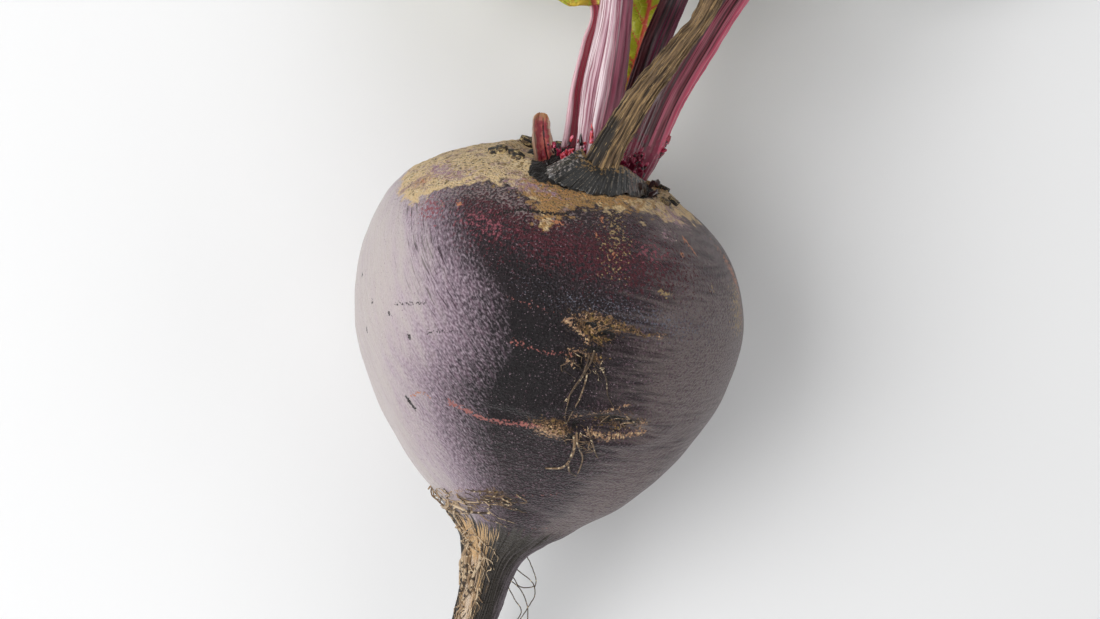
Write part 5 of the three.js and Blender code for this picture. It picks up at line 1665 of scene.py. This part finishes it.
share = np.linspace(0, 1, 14)
bud_shape = dome("bud", np.stack([bud_radius(share), share], axis=1), 18)
scale_share = np.linspace(0, 1, 7)
scale_radius = np.maximum(0.04, np.sin(np.pi * (0.12 + 0.86 * scale_share)) * 0.5)
scale_shape = dome("scale", np.stack([scale_radius, scale_share], axis=1), 8)

bud_skin, tree, shader, space = start_material("fresh_bud_skin", 0.28, Coat_Weight=0.4, Coat_Roughness=0.12)
tone = add(tree, "ShaderNodeAttribute", attribute_name="tone").outputs["Fac"]
ramp = add(tree, "ShaderNodeValToRGB", {"Fac": tone})
BUD_TONES = [(0, "#15110f"), (0.35, "#4a2a2c"), (0.6, "#8f1d3f"), (1, "#d13a3c")]
for i, (at, code) in enumerate(BUD_TONES):
    stop = ramp.color_ramp.elements[i] if i < 2 else ramp.color_ramp.elements.new(at)
    stop.position, stop.color = at, colour(code)
bud_colour = coats(
    tree,
    ramp.outputs[0],
    [("#2b0d14", grains(tree, space, 1.2, 0.4)), ("#e0708a", grains(tree, space, 0.7, tone, share=0.4))],
)
tree.links.new(bud_colour, shader.inputs["Base Color"])

bud_seats = [seat_of(*bud) for bud in BUDS]
buds = run_tree(
    seat_mesh("bud_hearts", bud_seats), seats, finish=bud_skin, shape=bud_shape, crumple=0.12 * MM
)

# %% [markdown]
# Where the stalks join the crown, the flesh has torn to soft crimson crumbs, and black scraps of old skin
# lie between them. They are thrown round a few middles, each turned a little its own way. They wear the
# finish of the buds, with tones of their own. Two long lumps are the torn pieces at the foot of the right
# stalk.

# %% Soft lumps and torn scraps
LUMPS = [
    # count, middle, spread, size, stretch towards, tone
    (12, (5.6, 37.0, 60.6), (1.9, 1.5, 0.8), 0.62, (0.1, 1, 0.3), 0.95),
    (16, (1.4, 35.2, 57.6), (2.5, 2.6, 0.9), 0.66, (0, 1, 0.3), 0.6),
    (12, (3.6, 34.6, 59.4), (1.6, 1.2, 0.8), 0.8, (0.1, 1, 0.3), 0.82),
    (36, (17.3, 33.0, 55.6), (2.6, 3.0, 0.8), 0.78, (0.5, 0.9, 0.1), 0.6),
    (22, (22.4, 37.0, 51.6), (1.3, 2.0, 0.6), 0.9, (0.6, 0.8, 0), 0.66),
    (9, (-2.2, 31.5, 58.6), (1.6, 1.6, 0.6), 1.2, (0, 1, 0.2), 0.08),
]
SCRAPS = [
    # count, middle, spread, size, towards, tone
    (14, (-1.5, 30.4, 59.5), (3, 1.4, 1), 1.6, (-0.2, 0.8, 0.8), 0.05),
    (14, (18.5, 28.0, 58.5), (4, 1.6, 1.6), 1.5, (0.5, 0.7, 0.5), 0.1),
    (30, (8, 30, 40), (12, 1.5, 5), 2.2, (0.1, 1, -0.4), 0.12),
    (14, (12, 32.5, 50), (7, 1.5, 3), 1.8, (0.1, 1, 0.1), 0.6),
]


def scattered(rows, longer, flatter):
    """Seats thrown round the middles of the rows, each turned a little its own way."""
    found = []
    for count, middle, spread, size, towards, tone in rows:
        for _ in range(count):
            start = [m + s * between(-1, 1) for m, s in zip(middle, spread)]
            way = unit(np.array([t + between(-0.5, 0.5) for t in towards]))
            aside = np.array([between(-1, 1) for _ in range(3)])
            wide = size * between(0.6, 1.2)
            found.append((start, way, aside, (wide, wide * flatter, longer * size * between(0.6, 1.2)), tone))
    return found


round_share = np.linspace(0, 1, 9)
lump_radius = np.maximum(0.03, 0.7 * np.sqrt(1 - (2 * round_share - 1) ** 2))
lump_shape = dome("lump", np.stack([lump_radius, round_share], axis=1), 10)
lump_seats = [seat_of(*knob) for knob in KNOBS] + scattered(LUMPS, 2.2, 0.7)
lumps = run_tree(
    seat_mesh("torn_flesh_lumps", lump_seats), seats, finish=bud_skin, shape=lump_shape, crumple=0.3 * MM
)
scrap_seats = scattered(SCRAPS, 1.9, 0.3)
scraps = run_tree(
    seat_mesh("torn_scales", scrap_seats), seats, finish=bud_skin, shape=scale_shape, crumple=0.2 * MM
)
for shape in (cup, bud_shape, lump_shape, scale_shape):
    bpy.data.objects.remove(shape)
for piece in (buds, lumps, scraps):
    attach(piece, "root")
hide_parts("buds")

# %% [markdown]
# Where the dead stalk leaves the crown, its base has shrunk to a black, shiny collar. It hangs from the
# stalk like a skirt, with pleats that run down to the rim of the crown, and its left end has split off as
# a pale grey fold. It is one thin sheet between two curves: the lower one lies on the skin of the root,
# the upper one on the stalk. The pleats are waves of uneven width, worked out where the sheet is made.

# %% Collar under the dried stalk
COLLAR = [
    # along and degrees on the root for the lower edge, then the point of the upper edge in mm
    (33.7, 118, 6.2, 36.9, 65.2), (33.0, 113, 6.8, 35.5, 66.2), (32.6, 107, 7.6, 34.3, 66.8),
    (32.7, 100, 8.6, 33.6, 67.0), (32.9, 93, 10.2, 33.0, 67.0), (33.0, 85, 11.8, 33.0, 66.8),
    (33.3, 76, 13.4, 33.3, 66.0), (33.7, 65, 15.2, 33.0, 64.4), (34.0, 50, 17.4, 31.6, 62.0),
    (34.6, 22, 20.2, 29.8, 58.6),
]  # fmt: skip
PLEATS, FINE_PLEATS, SHEET = 21, 47, 0.5
u, r = np.meshgrid(np.linspace(0, 1, 220), np.linspace(0, 1, 18), indexing="ij")
COLLAR = np.array(COLLAR, float)
lower_edge = spline(root_point(share_at(COLLAR[:, 0]), COLLAR[:, 1], 0.1), u)
upper_edge = spline(COLLAR[:, 2:], u)
pleat = np.sin(2 * np.pi * PLEATS * u + 2.6 * np.sin(2 * np.pi * 2.3 * u) + 1.6 * r + 1.2 * np.sin(19 * u))
pleat = 0.5 + 0.4 * pleat + 0.3 * np.sin(2 * np.pi * FINE_PLEATS * u + 3.0 * r + 2 * np.sin(23 * u))
swell = (0.8 + 0.8 * bell(u, 0.1, 0.09)) * np.sin(np.pi * r)
swell += 0.24 * pleat * (1 - 0.6 * r) * smooth(r, -0.05, 0.15)
swell += 0.35 * np.sin(11 * u + 4 * r) * np.sin(np.pi * r) - 0.25 * np.sin(31 * u + 1) * (1 - r)
sheet = lower_edge + (upper_edge - lower_edge) * r[..., None] + swell[..., None] * UPWARD
ragged = (0.3 * np.sin(37 * u) + 0.2 * np.sin(83 * u + 1))[..., None] * (1 - r[..., None]) ** 3
sheet = sheet - ragged * CROWNWARD
below = sheet - SHEET * UPWARD
collar_values = {"pleat": two_sided(pleat), "side": two_sided(u), "up": two_sided(r)}
both_sides = np.concatenate([sheet, below[:, ::-1]], axis=1)
collar = grid_mesh("black_collar", both_sides, loop=True, caps=True, values=collar_values)
print("collar:", len(collar.data.polygons), "faces")

# %% [markdown]
# Shrunk skin is black and leathery, so a roughness of 0.36 and a thin clear coat make its pleats glint.
# Their ridges are greyish brown, partly worn and partly a painted highlight, the right wing is grey-brown and
# the fold at the left is pale grey, both partly a painted highlight of the window on the shiny skin, and some
# straw colour of the stalk shows at the upper edge.

# %% Finish of the collar
black_skin, tree, shader, space = start_material(
    "shrivelled_black_skin", 0.36, Coat_Weight=0.35, Coat_Roughness=0.2
)
pleat_in, side_in, up_in = (
    add(tree, "ShaderNodeAttribute", attribute_name=name).outputs["Fac"] for name in ("pleat", "side", "up")
)
ridge, fold, wing, by_stalk = (
    add(
        tree, "ShaderNodeMapRange", {"Value": value, "From Min": none, "From Max": full, "To Max": most}
    ).outputs[0]
    for value, none, full, most in (
        (pleat_in, 0.35, 1.1, 0.62),
        (side_in, 0.26, 0.12, 0.62),
        (side_in, 0.68, 0.88, 0.55),
        (up_in, 0.5, 0.95, 0.6),
    )
)
collar_colour = coats(
    tree,
    colour("#15120f"),
    [
        # partly the skin's own colour, partly painted highlight: the ridges, the right wing and the fold
        ("#5e564b", grains(tree, space, 0.7, ridge, 0.15)),
        ("#5e4a42", grains(tree, space, 1.4, wing, 0.3)),
        ("#7c6039", grains(tree, space, 0.7, by_stalk, 0.12)),
        ("#a39a96", grains(tree, space, 0.9, fold, 0.2, share=0.62)),
        ("#100e0b", grains(tree, space, 0.6, 0.42, 0.08)),
    ],
)
bump = add(tree, "ShaderNodeTexNoise", {"Vector": space, "Scale": per(0.9), "Detail": 3}).outputs[0]
bump = add(tree, "ShaderNodeBump", {"Height": bump, "Strength": 0.7, "Distance": 0.4 * MM})
tree.links.new(collar_colour, shader.inputs["Base Color"])
tree.links.new(bump.outputs[0], shader.inputs["Normal"])
collar.data.materials.append(black_skin)
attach(collar, "root")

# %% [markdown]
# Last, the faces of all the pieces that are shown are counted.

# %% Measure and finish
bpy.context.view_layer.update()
faces = sum(len(o.data.polygons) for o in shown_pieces() if o.type == "MESH")
print("faces shown:", faces)
